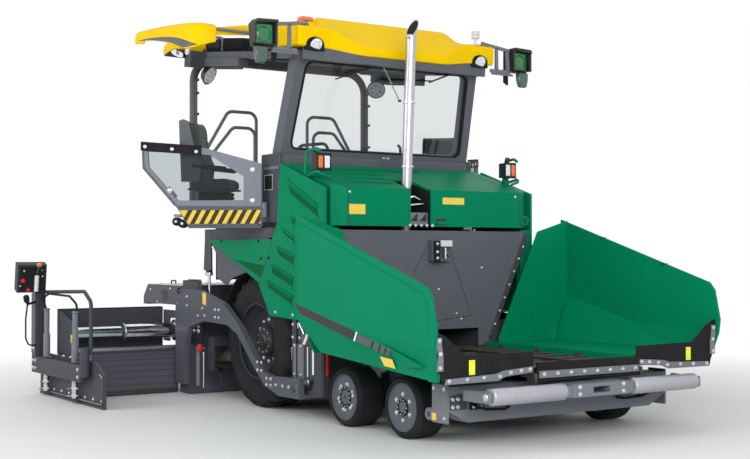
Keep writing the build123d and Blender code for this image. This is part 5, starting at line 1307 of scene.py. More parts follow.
def console_trim(ending, s):
    """Tinted pane, black top guard, edge folds, striped warning plate, buffers and bolts of a console."""
    body = f"console_{ending}"
    place = console_spot(s)

    def spot(x, y, z):
        return place(PIVOT[0] + x, y, z)

    def slab(fit, outline, y0, y1, finish):
        fit.swept(spot, outline, (y0, y1), finish)
    pane = Fitting(f"console_pane_{ending}")
    slab(pane, ((-190, 2120), (-190, 2376), (-556, 2604), (-1234, 2650), (-1224, 2474), (-904, 2120)),
        -1284, -1276, tinted_pane)
    pane.done(body, "clear_glass", bevel=1)
    guard = Fitting(f"console_guard_{ending}")
    slab(guard, ((-648, 2592), (-648, 2678), (-1300, 2732), (-1300, 2650)), -1312, -1301, black_rubber)
    slab(guard, ((-648, 2672), (-648, 2690), (-1300, 2744), (-1300, 2728)), -1312, -1262, black_rubber)
    guard.done(body, "black_rubber", bevel=4)
    fold = Fitting(f"console_fold_{ending}")
    slab(fold, ((-1290, 2722), (-1280, 2465), (-935, 2075), (-920, 2090), (-1262, 2475), (-1272, 2718)),
        -1310, -1301, cab_grey)
    slab(fold, ((-15, 2070), (-15, 2492), (-5, 2492), (-5, 2070)), -1308, -1301, cab_grey)
    slab(fold, ((-930, 2160), (-1010, 2262), (-990, 2278), (-910, 2176)), -1300, -1276, cab_grey)
    fold.done(body, "cab_grey", bevel=3)
    warn = Fitting(f"warning_plate_{ending}")
    left_top, left_low = -886, -790
    slab(warn, ((-20, 1890), (-20, 2030), (left_top, 2030), (left_low, 1890)), -1305, -1301, hazard_yellow)
    z0, z1, lean = 1890, 2030, 78
    for i in range(10):
        x0 = left_top + 20 + i * 97
        bar = ((x0, z0), (x0 + 50, z0), (x0 + 50 + lean, z1), (x0 + lean, z1))
        clipped = clip(clip(bar, (left_top, z1), (left_low, z0)), (-20, z0), (-20, z1))
        if len(clipped) > 2:
            slab(warn, clipped, -1306.2, -1304, seam_black)
    for outline in (((0, 1872), (0, 2046), (-20, 2030), (-20, 1890)), ((0, 2046), (-900, 2046),
            (left_top, 2030), (-20, 2030)), ((-790, 1872), (-60, 1872), (-20, 1890), (left_low, 1890)),
            ((-900, 2046), (-790, 1872), (left_low, 1890), (left_top, 2030))):
        slab(warn, outline, -1309, -1301, cab_grey)
    warn.done(body, "machine_grey", bevel=0.8)
    low = Fitting(f"console_buffers_{ending}")
    for x, y, z in ((-925, -1262, 1915), (-850, -1290, 1892)):
        a = Vector(spot(x, y - 22, z))
        b = Vector(spot(x, y + 60, z))
        low.bar(a, b, 44, black_rubber, 28, 8)
        low.bar(Vector(spot(x, y - 30, z)), b, 15, zinc, 16)
    slab(low, ((-900, 1960), (-760, 1872), (-800, 1862), (-905, 1900)), -1276, -1262, black_frame)
    slab(low, ((-790, 1846), (-20, 1846), (0, 1874), (-790, 1874)), -1300, -1200, cab_grey)
    slab(low, ((-900, 2040), (-10, 2040), (-10, 2076), (-930, 2076)), -1298, -1250, cab_grey)
    low.done(body, "black_rubber", bevel=1.5)
    facing = Vector(place(0, -1, 0)) - Vector(place(0, 0, 0))
    rows = []
    for x, y, z, r in ((-105, -1302, 2440, 15), (-105, -1302, 2125, 15), (-700, -1312, 2630, 11),
            (-960, -1312, 2660, 11), (-1250, -1312, 2690, 11), (-985, -1300, 2235, 16)):
        rows.append((spot(x, y, z), tuple(facing), r))
    bolts(f"console_bolts_{ending}", body, rows, zinc)


def clip(outline, a, b):
    """The part of an outline to the left of the line from a to b."""
    def ahead(p):
        return (b[0] - a[0]) * (p[1] - a[1]) - (b[1] - a[1]) * (p[0] - a[0])
    kept = []
    for p, q in zip(outline, tuple(outline[1:]) + (outline[0],)):
        dp, dq = ahead(p), ahead(q)
        if dp >= 0:
            kept.append(p)
        if (dp > 0 > dq) or (dp < 0 < dq):
            t = dp / (dp - dq)
            kept.append((p[0] + (q[0] - p[0]) * t, p[1] + (q[1] - p[1]) * t))
    return tuple(kept)


# Seats

def cushion(name, corners, thickness, swell, cap):
    """A stuffed pad on a four-cornered base, swollen by a short cloth simulation."""
    start = bmesh.new()
    base = [Vector(c) / 1000 for c in corners]
    normal = (base[1] - base[0]).cross(base[3] - base[0]).normalized() * thickness / 1000
    rows = []
    for t, shrink in ((0.0, 0.93), (0.14, 0.985), (0.5, 1.0), (0.86, 0.985), (1.0, 0.93)):
        middle = sum(base, Vector()) / 4
        ring = []
        for i in range(4):
            here, before, after = base[i], base[i - 1], base[(i + 1) % 4]
            for k in range(6):
                f = k / 5
                a, b = (before - here).normalized() * 0.07, (after - here).normalized() * 0.07
                ring.append(start.verts.new(middle + (here + a * (1 - f) ** 2 + b * f ** 2 - middle)
                    * shrink + normal * t))
        rows.append(ring)
    n = len(rows[0])
    for low, high in zip(rows, rows[1:]):
        for i in range(n):
            start.faces.new((low[i], low[(i + 1) % n], high[(i + 1) % n], high[i]))
    start.faces.new(rows[0][::-1])
    start.faces.new(rows[-1])
    bmesh.ops.recalc_face_normals(start, faces=start.faces)
    mesh = bpy.data.meshes.new(name)
    start.to_mesh(mesh)
    start.free()
    pad = bpy.data.objects.new(name, mesh)
    bpy.context.scene.collection.objects.link(pad)
    voxels = pad.modifiers.new("voxels", "REMESH")
    voxels.mode = "VOXEL"
    voxels.voxel_size = 0.007
    depsgraph = bpy.context.evaluated_depsgraph_get()
    fine = bpy.data.meshes.new_from_object(pad.evaluated_get(depsgraph))
    pad.modifiers.clear()
    pad.data = fine
    rest = [v.co.copy() for v in fine.vertices]
    cloth = pad.modifiers.new("stuffing", "CLOTH")
    cloth.settings.use_pressure = True
    cloth.settings.uniform_pressure_force = swell
    cloth.settings.effector_weights.gravity = 0
    cloth.settings.quality = 4
    for frame_number in range(1, 17):
        bpy.context.scene.frame_set(frame_number)
    depsgraph = bpy.context.evaluated_depsgraph_get()
    puffed = bpy.data.meshes.new_from_object(pad.evaluated_get(depsgraph))
    pad.modifiers.clear()
    pad.data = puffed
    bpy.context.scene.frame_set(1)
    for vertex, old in zip(puffed.vertices, rest):
        move = vertex.co - old
        if move.length > cap / 1000:
            vertex.co = old + move.normalized() * cap / 1000
    return pad


def sewn(pad, base, across, along, channels, depth):
    """Presses sewn channels into a pad, across its face at shares of its length."""
    for vertex in pad.data.vertices:
        offset = vertex.co - base
        u = offset.dot(across) / across.length_squared
        v = offset.dot(along) / along.length_squared
        press = 0.0
        for kind, share in channels:
            d = abs((u if kind == "u" else v) - share) * (across.length if kind == "u" else along.length)
            press = max(press, depth * max(0.0, 1 - d / 0.012) ** 2)
        if press:
            normal = across.cross(along).normalized()
            if vertex.normal.dot(normal) > 0.3:
                vertex.co -= normal * press


def seat_pads():
    """Both seats: pads with sewn channels, shells, arm rests and bellows."""
    px = PIVOT[0]
    rear, front = px - 860, px - 380
    y = -932
    low, half = 2240, 240
    flat = [(rear + 14, y - half + 14, low + 16), (front - 14, y - half + 14, low + 16),
        (front - 14, y + half - 14, low + 16), (rear + 14, y + half - 14, low + 16)]
    back = [(rear + 84, y + 216, 2320), (rear + 84, y - 216, 2320), (rear + 4, y - 216, 2968),
        (rear + 4, y + 216, 2968)]
    for kind, corners, thick in (("seat_cushion", flat, 88), ("seat_backrest", back, -66)):
        pad = cushion(f"{kind}_right", corners, thick, 4.0, 20)
        a, b, d = (Vector(corners[i]) / 1000 for i in (0, 1, 3))
        if kind == "seat_cushion":
            sewn(pad, a, b - a, d - a, (("v", 0.2), ("v", 0.8), ("u", 0.33), ("u", 0.66)), 0.012)
        else:
            sewn(pad, b, a - b, Vector(corners[2]) / 1000 - b, (("u", 0.2), ("u", 0.8), ("v", 0.3),
                ("v", 0.72)), 0.012)
        for ending, s in sides():
            body = f"console_{ending}"
            mesh = pad.data.copy()
            mesh.name = f"{kind}_{ending}"
            for vertex in mesh.vertices:
                vertex.co = at(*console_spot(s)(*(vertex.co * 1000)))
            if s > 0:
                mesh.flip_normals()
            smooth_pad = bpy.data.objects.new(f"{kind}_{ending}", mesh)
            bpy.context.scene.collection.objects.link(smooth_pad)
            mesh.materials.clear()
            mesh.materials.append(seat_cloth)
            mesh.shade_smooth()
            round_off = smooth_pad.modifiers.new("round", "SUBSURF")
            round_off.levels = round_off.render_levels = 1
            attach(smooth_pad, body)
            if kind == "seat_cushion":
                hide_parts(f"seat_{ending}")
        bpy.data.objects.remove(pad)
    for ending, s in sides():
        spot = console_spot(s)
        body = f"console_{ending}"
        shell = Fitting(f"seat_shell_{ending}")

        def slab(outline, y0, y1, finish):
            shell.swept(spot, outline, (y0, y1), finish)
        slab(((rear + 74, 2300), (rear + 60, 2300), (rear - 62, 2974), (rear - 40, 2978), (rear + 2, 2960)),
            y - 224, y + 224, black_plastic)
        for y0, y1 in ((y - 238, y - 222), (y + 222, y + 238)):
            slab(((rear + 150, 2330), (rear - 50, 2330), (rear - 78, 2968), (rear - 30, 2984),
                (rear + 30, 2960), (rear + 90, 2700), (rear + 170, 2520)), y0, y1, seat_grey)
        slab(((rear + 20, 2243), (front - 20, 2243), (front - 10, 2262), (rear + 10, 2262)), y - 228,
            y + 228, black_plastic)
        for y0 in (y - 238, y + 178):
            slab(((rear + 60, 2478), (rear + 380, 2440), (rear + 430, 2458), (rear + 420, 2486),
                (rear + 70, 2520)), y0, y0 + 60, black_rubber)
            slab(((rear + 70, 2330), (rear + 110, 2330), (rear + 120, 2490), (rear + 80, 2490)), y0 + 20,
                y0 + 40, dark_grey)
        slab(((px - 720, 2010), (px - 480, 2010), (px - 480, 2236), (px - 720, 2236)), y - 150,
            y + 150, black_plastic)
        shell.done(body, "black_plastic", bevel=5)
        fold = Fitting(f"seat_bellows_{ending}")
        square = ((-140, -160), (140, -160), (140, 160), (-140, 160))
        rings = []
        for i in range(13):
            w = 1.08 if i % 2 else 0.98
            rings.append([at(*spot(px - 600 + dx * w, y + dy * w, 2000 + i * 19)) for dx, dy in square])
        fold.skin(rings, black_rubber)
        fold.done(body, "black_rubber", bevel=2)


for ending, s in sides():
    console_trim(ending, s)
seat_pads()


# Roof fittings

ROOF_TILT = radians(7)


def roof_spot(x, y, z):
    """A place drawn on the level roof about its pivot, tilted as the roof stands."""
    dx, dz = x - 600, z
    return (600 + dx * cos(ROOF_TILT) + dz * sin(ROOF_TILT), y,
        3560 - dx * sin(ROOF_TILT) + dz * cos(ROOF_TILT))


# Front shell outlines as (x from the pivot, height over the level roof)
SHELL_CENTRE = ((-270, 62), (-110, 56), (318, 48), (328, 68), (316, 120), (300, 145), (60, 298),
    (-110, 412), (-185, 427), (-262, 414), (-272, 395))
SHELL_END = ((-270, 84), (-110, 90), (212, 97), (222, 116), (212, 266), (194, 298), (60, 307), (-100, 311),
    (-185, 315), (-262, 317), (-272, 300))
# Width from the middle, over which each outline point passes from the centre's to the end's place
SHELL_PASSING = ((430, 1000),) * 3 + ((430, 890),) * 3 + ((650, 930),) + ((780, 960),) * 4
SHELL_HALF = 1240
# The right awning's rim in plan, with its top and bottom heights
AWNING_RIM = ((-1110, 2120, 170, 51), (-1085, 2120, 176, 51), (-1000, 2120, 184, 51), (-905, 2120, 192, 51),
    (-895, 2120, 193, 82), (-750, 2120, 202, 84), (-600, 2120, 212, 77), (-450, 2120, 220, 69),
    (-300, 2120, 226, 53), (-150, 2120, 231, 34), (0, 2120, 235, 12), (90, 2118, 237, -4),
    (160, 2108, 238, -5), (215, 2088, 238, 4), (265, 2050, 238, 22), (297, 1998, 236, 42),
    (312, 1940, 233, 60), (318, 1880, 228, 76))
AWNING_SHIFT = {"right": 0, "left": 560}


def eased(outline, reach, steps=3):
    """A closed outline with its corners rounded."""
    soft = []
    spots = [Vector(p) for p in outline]
    for i, here in enumerate(spots):
        before, after = spots[i - 1] - here, spots[(i + 1) % len(spots)] - here
        a = before.normalized() * min(reach, before.length * 0.45)
        b = after.normalized() * min(reach, after.length * 0.45)
        for k in range(steps + 1):
            t = k / steps
            soft.append(here + a * (1 - t) ** 2 + b * t ** 2)
    return soft


def gentle(value, start, end):
    """0 before the start, 1 after the end, smooth between."""
    t = min(1.0, max(0.0, (value - start) / (end - start)))
    return t * t * (3 - 2 * t)


def shell_outline(y):
    """The front shell's outline at a width from the middle."""
    points = []
    for centre, end, (start, stop) in zip(SHELL_CENTRE, SHELL_END, SHELL_PASSING):
        share = gentle(abs(y), start, stop)
        points.append([c * (1 - share) + e * share for c, e in zip(centre, end)])
    return points


def front_shell():
    """Moulded front shell: a high bulge in the middle that runs out into two end blocks."""
    shell = Fitting("front_roof_shell")
    header = Fitting("roof_header")
    half = [0, 110, 220, 330, 430] + list(range(460, 1010, 30)) + [1060, 1140, 1210, 1228, 1237, SHELL_HALF]
    rings, grey = [], []
    for y in [-v for v in half[:0:-1]] + half:
        outline = shell_outline(y)
        inset = max(0.0, abs(y) - 1210)
        middle = Vector([sum(p[i] for p in outline) / len(outline) for i in (0, 1)])
        soft = eased(outline, 24)
        if inset:
            pull = 26 * (1 - (1 - (inset / 30) ** 2) ** 0.5)
            soft = [q - (q - middle).normalized() * pull for q in soft]
        rings.append([at(*roof_spot(600 + x, y, z)) for x, z in soft])
        low = outline[2][1]
        if abs(y) < 1205:
            grey.append([at(*roof_spot(600 + x, y, z)) for x, z in ((150, -30),
                (205 + (low - 97) * -2, -30), (205 + (low - 97) * -2, low + 6), (150, low + 6))])
    shell.skin(rings, roof_yellow)
    piece = shell.done("tractor", "roof_yellow", bevel=0, smooth=44)
    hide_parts("roof_shells")
    header.skin(grey, cab_grey)
    header.done("tractor", "cab_grey", bevel=4)


def rear_shell():
    """Moulded rear shell with a rounded nose, and the black and white lamps in its ends."""
    outline = ((-1520, 52), (-1690, 50), (-1915, -2), (-1958, 6), (-1962, 84), (-1900, 138), (-1800, 150),
        (-1520, 190))
    soft = eased(outline, 34)
    middle = Vector((-1740, 80))
    rings = []
    for y in (-1420, -1416, -1404, -1380, -1340, -900, -450, 0, 450, 900, 1340, 1380, 1404, 1416, 1420):
        pull = 30 * (1 - (1 - (max(0, abs(y) - 1380) / 40) ** 2) ** 0.5)
        rings.append([at(*roof_spot(*((q - (q - middle).normalized() * pull).x, y,
            (q - (q - middle).normalized() * pull).y))) for q in soft])
    shell = Fitting("rear_roof_shell")
    shell.skin(rings, roof_yellow)
    shell.done("tractor", "roof_yellow", bevel=0, smooth=50)
    for ending, s in sides():
        lamps = Fitting(f"rear_shell_lamp_{ending}")

        def slab(outline, y0, y1, finish):
            lamps.swept(roof_spot, outline, (s * y0, s * y1), finish)
        slab(eased(((-1915, -8), (-1829, 22), (-1700, 60), (-1566, 74), (-1380, 40), (-1369, -33),
            (-1580, -27)), 20), 1330, 1422, black_frame)
        slab(eased(((-1723, 45), (-1604, 66), (-1509, 47), (-1392, 19), (-1386, -28), (-1500, -24),
            (-1637, 3)), 24), 1420, 1428, white_lens)
        slab(((-1560, 62), (-1500, 49), (-1480, 4), (-1560, 8)), 1427, 1430, machine_grey)
        centre = Vector(roof_spot(-1308, s * 1400, 36))
        lamps.turned(centre, (0, s, 0), ((0, 4), (0, 36), (22, 36), (28, 30), (30, 4)), white_paint, 28)
        lamps.turned(centre, (0, s, 0), ((28, 1), (28, 12), (33, 10), (33, 1)), orange_lens, 14)
        slab(((-1400, -130), (-1240, -130), (-1240, 48), (-1400, 48)), 1200, 1398, dark_grey)
        lamps.done("tractor", "panel_white", bevel=3)


def awning(ending, s):
    """Folding side awning: one moulded shell with a deep curved face and a grey crescent."""
    shift = AWNING_SHIFT[ending]
    made = Fitting(f"awning_{ending}")
    rings = []
    for i, (x, y, top, low) in enumerate(AWNING_RIM):
        x0, y0 = AWNING_RIM[max(i - 1, 0)][:2]
        x1, y1 = AWNING_RIM[min(i + 1, len(AWNING_RIM) - 1)][:2]
        ahead = Vector((x1 - x0, y1 - y0)).normalized()
        inward = Vector((ahead.y, -ahead.x))
        if inward.y > 0:
            inward = -inward
        ring = []
        reach = 232 if x < 100 else 232 - (x - 100) * 0.62
        for deep, height in ((0, low + 4), (0, top - 34), (5, top - 14), (18, top), (44, top + 12),
                (reach * 0.6, top + 18), (reach, top + 14), (reach, top - 6), (60, top - 10),
                (28, top - 22), (22, top - 40), (22, low + 8), (18, low), (4, low)):
            ring.append(at(*roof_spot(x + inward.x * deep, s * (y - shift + inward.y * deep), height)))
        rings.append(ring)
    made.skin(rings, roof_yellow)
    for x in (-960, 190):
        made.tube([roof_spot(x, s * yy, zz) for yy, zz in ((1150, 60), (1160, 205), (1900 - shift, 215))],
            16, 40, machine_grey)
    made.done("tractor", "roof_yellow", bevel=0, smooth=44)
    crescent = Fitting(f"awning_stripe_{ending}")
    outer = s * (2120 - shift)
    upper = ((-1047, 86), (-904, 98), (-724, 110), (-413, 116), (-200, 112), (-70, 104), (60, 88), (90, 82))
    lower = ((-1030, 82), (-900, 86), (-722, 90), (-406, 74), (-225, 58), (-90, 34), (40, 12), (90, 4))
    for a, b, c, d in zip(upper, upper[1:], lower[1:], lower):
        crescent.swept(roof_spot, (a, b, c, d), (outer, outer + s * 1.5), stripe_grey)
    tail = []
    for (x, y), z0, z1 in (((90, 2119.5), 4, 82), ((160, 2110), 8, 70), ((215, 2090), 20, 56),
            ((262, 2054), 36, 42)):
        tail.append([at(*roof_spot(px, s * (y - shift + dy), z))
            for px, dy, z in ((x, 0, z0), (x, 0, z1), (x, -8, z1), (x, -8, z0))])
    crescent.skin(tail, stripe_grey)
    crescent.done("tractor", "dark_grey", bevel=0)


def side_lamp(ending, s):
    """Green side lamp with its hood, backing plate, mirror and lattice bracket."""
    lamp = Fitting(f"side_lamp_{ending}")
    for z0, z1 in ((3808, 3822), (3596, 3612)):
        lamp.block(846, 872, s * 1500, s * 1724, z0, z1, black_plastic)
    lamp.cross(((s * 1722, 3600), (s * 1742, 3600), (s * 1742, 3800), (s * 1718, 3820)), 780, 878,
        black_plastic)
    lamp.cross(((s * 1488, 3600), (s * 1506, 3600), (s * 1506, 3820), (s * 1490, 3820)), 780, 878,
        black_plastic)
    lamp.cross(((s * 1488, 3818), (s * 1742, 3798), (s * 1718, 3838), (s * 1490, 3846)), 760, 900,
        black_plastic)
    lamp.done("tractor", "black_rubber", bevel=6)
    lens = Fitting(f"side_lamp_lens_{ending}")
    lens.block(812, 822, s * 1518, s * 1708, 3606, 3802, green_lens)
    lens.turned((820, s * 1613, 3704), (1, 0, 0), ((0, 2), (0, 78), (7, 74), (12, 60), (15, 40), (15, 2)),
        green_lens, 40)
    lens.done("tractor", "clear_glass", bevel=1.5)
    mirror = Fitting(f"side_mirror_{ending}")
    rings = []
    for z, y0, y1, x0, x1 in ((3420, 1612, 1688, 812, 838), (3432, 1596, 1700, 800, 846),
            (3500, 1584, 1712, 786, 852), (3570, 1580, 1714, 784, 854), (3584, 1590, 1704, 792, 846)):
        rings.append([at(x, s * y, z) for x, y in ((x0, y0), (x1, y0), (x1, y1), (x0, y1))])
    mirror.skin(rings, lens_dark)
    mirror.block(800, 836, s * 1600, s * 1640, 3580, 3602, black_frame)
    mirror.done("tractor", "black_rubber", bevel=10)
    back = Fitting(f"side_lamp_case_{ending}")
    back.cross(((s * 1498, 3584), (s * 1722, 3584), (s * 1740, 3800), (s * 1706, 3834), (s * 1492, 3834)),
        738, 808, black_plastic)
    back.cross(((s * 1436, 3470), (s * 1496, 3440), (s * 1492, 3838), (s * 1440, 3838)), 744, 770,
        black_frame)
    piece = back.done("tractor", "dark_grey", bevel=6)
    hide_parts("roof_lamps")
    lattice = Fitting(f"side_lamp_lattice_{ending}")
    for outline in (((1100, 3852), (1100, 3886), (1560, 3826), (1560, 3790)),
            ((1225, 3602), (1225, 3562), (1500, 3562), (1500, 3602)), ((1445, 3590), (1492, 3590),
            (1478, 3815), (1440, 3815)), ((1290, 3590), (1330, 3590), (1326, 3838), (1292, 3838))):
        lattice.cross([(s * y, z) for y, z in outline], 776, 802, machine_grey)
    lattice.block(760, 815, s * 1100, s * 1140, 3832, 3856, machine_grey)
    lattice.tube(((812, s * 1225, 3548), (812, s * 1520, 3548)), 12, 10, machine_grey)
    lattice.done("tractor", "machine_grey", bevel=3)


def work_lamp(name, spot, facing, radius, depth):
    """Round lamp: case, bright bowl, clear lens and six small reflectors."""
    facing = Vector(facing).normalized()
    made = Fitting(name)
    made.turned(spot, facing, ((-depth, radius * 0.35), (-depth * 0.8, radius * 0.7), (-8, radius),
        (6, radius), (8, radius * 0.93), (4, radius * 0.9), (-6, radius * 0.55)), black_plastic, 32,
        closed=False)
    made.turned(spot, facing, ((4, 2), (4, radius * 0.9), (7, radius * 0.88), (10, radius * 0.6), (12, 2)),
        white_lens, 32)
    side = facing.orthogonal().normalized()
    other = facing.cross(side)
    for i in range(6):
        a = 2 * pi * i / 6
        dot = Vector(spot) + (side * cos(a) + other * sin(a)) * radius * 0.52
        made.turned(dot, facing, ((8, 2), (8, radius * 0.17), (13, radius * 0.1), (13, 2)), zinc, 10)
    made.done("tractor", "panel_white", bevel=0)


def roof_fittings():
    """Lamps in black recesses, orange marker, sensor, rear lamps and pipes of the roof."""
    for ending, s in sides():
        arch = Fitting(f"roof_lamp_recess_{ending}")
        outline = [(s * 1040 + 112, 62), (s * 1040 + 104, 120)]
        outline += [(s * 1040 + 104 * cos(pi * k / 12), 120 + 78 * sin(pi * k / 12)) for k in range(1, 12)]
        outline += [(s * 1040 - 104, 120), (s * 1040 - 112, 62)]
        arch.skin([[at(*roof_spot(600 + x, y, z)) for y, z in outline] for x in (190, 228)], black_frame)
        arch.done("tractor", "black_rubber", bevel=3)
        work_lamp(f"roof_front_lamp_{ending}", (846, s * 1036, 3654), (0.88, -0.08, -0.46), 70, 46)
        work_lamp(f"rear_post_lamp_{ending}", (-1300, s * 1130, 3588), (0.74, -s * 0.47, -0.48), 112, 84)
        stay = Fitting(f"rear_post_lamp_stay_{ending}")
        stay.tube(((-1450, s * 1170, 3700), (-1380, s * 1155, 3730), (-1340, s * 1145, 3660)), 15, 20,
            black_frame)
        stay.tube(((-1370, s * 1160, 3590), (-1360, s * 1160, 3500), (-1330, s * 1150, 3500)), 13, 20,
            black_frame)
        stay.tube(((-1560, s * 1170, 2100), (-1560, s * 1170, 3560)), 12, 10, cab_grey)
        for z in (3561, 3411, 3171, 2900, 2600):
            stay.block(-1568, -1510, s * 1156, s * 1184, z - 14, z + 14, black_plastic)
        stay.done("tractor", "black_rubber", bevel=2)
    marker = Fitting("roof_marker")
    stand = ((-172, 1052), (-60, 1052), (-60, 890), (-172, 890))
    marker.skin([[at(*roof_spot(600 + x, -y, z)) for x, y in stand] for z in (300, 366)], roof_yellow)
    rings = []
    for z, shrink in ((366, 1.0), (374, 1.0), (400, 0.94), (412, 0.8)):
        rings.append([at(*roof_spot(484 + (x + 116) * shrink, -(972 + (y - 972) * shrink), z))
            for x, y in ((-166, 1040), (-66, 1040), (-66, 905), (-166, 905))])
    marker.skin(rings[:2], seam_black)
    marker.skin(rings[1:], orange_lens)
    marker.done("tractor", "panel_white", bevel=5)
    sensor = Fitting("roof_sensor")
    foot = Vector(roof_spot(700, 1060, 298))
    sensor.turned(foot, (0, 0, 1), ((0, 2), (0, 64), (16, 60), (22, 20), (26, 13), (70, 13), (74, 24),
        (80, 40), (88, 44), (106, 44), (110, 38), (116, 38), (120, 46), (138, 46), (142, 40), (148, 40),
        (150, 44), (158, 44), (160, 2)), cover_white, 32)
    sensor.done("tractor", "panel_white", bevel=0)


def roof_side_fittings(ending, s):
    """Yellow arm cover and black ribbed bellows between an awning and the roof."""
    shift = AWNING_SHIFT[ending]
    cover = Fitting(f"awning_arm_cover_{ending}")
    cover.skin([[at(*roof_spot(x, s * y, z)) for x, z in ((90, low), (160, low), (160, top), (90, top))]
        for y, low, top in ((1885 - shift, 150, 220), (max(1500 - shift * 0.6, 1275), 180, 280),
        (1235, 203, 306))], roof_yellow)
    cover.done("tractor", "roof_yellow", bevel=8)
    bellows = Fitting(f"roof_bellows_{ending}")
    bellows.swept(roof_spot, ((-1400, 92), (-440, 92), (-440, 190), (-1060, 212), (-1400, 150)),
        (s * 900, s * 1150), black_frame)
    bellows.done("tractor", "dark_grey", bevel=10)
    fold = Fitting("bellows_fold")
    fold.swept(roof_spot, ((-1040, 96), (-1027, 96), (-1027, 206), (-1040, 206)), (s * 895, s * 1166),
        black_rubber)
    copies(f"roof_bellows_folds_{ending}", fold, "tractor", 22, black_rubber,
        step=(27 * cos(ROOF_TILT), 0, -27 * sin(ROOF_TILT) - 0.4))


def roof_underside():
    """Dark boxes under the roof's edges and the ribs of its ceiling."""
    ceiling = Fitting("roof_side_boxes")
    for s in (-1, 1):
        ceiling.skin([[at(*roof_spot(x, s * y, z)) for y, z in ((1110, -118), (1190, -118), (1190, -20),
            (1110, -20))] for x in (-1300, -560)], dark_grey)
        ceiling.skin([[at(*roof_spot(x, s * y, z)) for y, z in ((1190, -140), (1200, -140), (1200, -10),
            (1190, -10))] for x in (-1020, -380)], dark_grey)
        for x in (-1040, -940):
            a = Vector(roof_spot(x, s * 1170, 40))
            ceiling.bar(a, a + Vector((0, s * 12, 0)), 14, black_plastic, 18)
    ceiling.done("tractor", "dark_grey", bevel=2.5)
    rib = Fitting("awning_rib")
    rib.swept(roof_spot, ((-1350, 60), (-1328, 60), (-1328, 104), (-1350, 104)), (-1160, 1160), black_frame)
    copies("roof_underside_ribs", rib, "tractor", 24, black_frame,
        step=(66 * cos(ROOF_TILT), 0, -66 * sin(ROOF_TILT)))


front_shell()
rear_shell()
for ending, s in sides():
    awning(ending, s)
    side_lamp(ending, s)
    roof_side_fittings(ending, s)
roof_fittings()
roof_underside()


# Screed

def screed_trim(ending, s):
    """Bolts, wear plate, label, knob, rods and box of one screed arm."""
    arm = s * 1355
    out = (0, s, 0)
    rows = [((x, arm, z), out, 11) for x, z in ((-705, 980), (-620, 980), (-705, 898), (-620, 898),
        (236, 489), (320, 489), (236, 409), (320, 409), (424, 340), (510, 340), (424, 277), (510, 277),
        (609, 290), (746, 290), (862, 290), (985, 292), (-1010, 985), (-960, 905), (-1120, 900),
        (-1400, 1100), (-1400, 1000))]
    rows += [((x, s * 1300, z), out, 15) for x, z in ((-1323, 781), (-1215, 781), (-1323, 724),
        (-1215, 724))]
    bolts(f"arm_bolts_{ending}", "screed", rows, zinc)
    fit = Fitting(f"arm_fittings_{ending}")
    fit.block(960, 1030, arm, s * 1363, 330, 245, machine_grey)
    fit.turned((980, s * 1352, 290), out, ((0, 2), (0, 46), (14, 46), (18, 40), (18, 2)), worn_steel, 28)
    fit.block(-1395, -1140, s * 1272, s * 1294, 590, 850, black_frame)
    fit.side(((-1500, 1175), (-1150, 1175), (-1150, 1283), (-1480, 1283)), s * 1346, s * 1353, dark_grey)
    fit.done("screed", "dark_grey", bevel=3)
    label(f"arm_label_{ending}", "screed", ((-1010, arm, 1035), (-925, arm, 1020), (-925, arm, 1155),
        (-1010, arm, 1160)), (0, s * 2, 0), label_yellow)
    rods = Fitting(f"arm_rods_{ending}")
    rods.turned((-1060, s * 1340, 552), out, ((0, 2), (0, 34), (12, 40), (34, 40), (44, 32), (46, 2)),
        red_knob, 28)
    rods.bar((-1060, s * 1300, 552), (-1060, s * 1344, 552), 14, zinc)
    rods.turned((-1160, s * 1330, 520), (0, 0, 1), ((0, 2), (0, 26), (30, 26), (36, 20), (36, 2)),
        label_green, 24)
    rods.bar((-1160, s * 1330, 130), (-1160, s * 1330, 520), 22, machine_grey)
    rods.bar((-1030, s * 1330, 120), (-1030, s * 1330, 505), 12, chrome)
    rods.done("screed", "chrome_tube", bevel=1)
    knobs = Fitting(f"screed_box_{ending}")
    knobs.block(-1400, -1170, s * 1290, s * 1344, 1287, 1296, black_frame)
    knobs.tube(((-1600, s * 1356, 1140), (-1600, s * 1376, 1140), (-1600, s * 1376, 1190),
        (-1600, s * 1352, 1190)), 9, 14, black_plastic)
    knobs.done("screed", "dark_grey", bevel=1.5)


def cover_trim():
    """Light lid skin, seams, handles and bolts of the screed's cover."""
    lid = Fitting("screed_cover_skin")
    lid.side(((-1552, 1220), (-1552, 1226), (-2482, 1226), (-2598, 1086), (-2598, 1080), (-2480, 1220)),
        -1348, 1348, cover_white)
    lid.done("screed", "panel_white", bevel=2)
    seams = Fitting("screed_cover_seams")
    for y in (-900, -450, 0, 450, 900):
        seams.block(-2470, -1560, y, y + 6, 1226, 1227.5, seam_black)
    for s in (-1, 1):
        for x in (-2300, -1900):
            seams.tube(((x - 60, s * 1100, 1226), (x - 60, s * 1100, 1262), (x + 60, s * 1100, 1262),
                (x + 60, s * 1100, 1226)), 9, 16, black_plastic)
        seams.turned((-2080, s * 1350, 1130), (0, s, 0), ((0, 2), (0, 16), (4, 16), (4, 2)), seam_black, 20)
        seams.side(((-2060, 1040), (-1940, 1040), (-1930, 1150), (-2050, 1170)), s * 1350, s * 1353,
            dark_grey)
    seams.done("screed", "dark_grey", bevel=0.5)
    rows = mirror_rows([((x, -1350, z), (0, -1, 0), 8) for x, z in ((-2400, 1160), (-1850, 1180),
        (-2200, 1020), (-1650, 1020))])
    rows += [((x, y, 1226), (0, 0, 1), 9) for x in (-2440, -1600) for y in (-1200, -600, 0, 600, 1200)]
    bolts("screed_cover_bolts", "screed", rows, zinc)


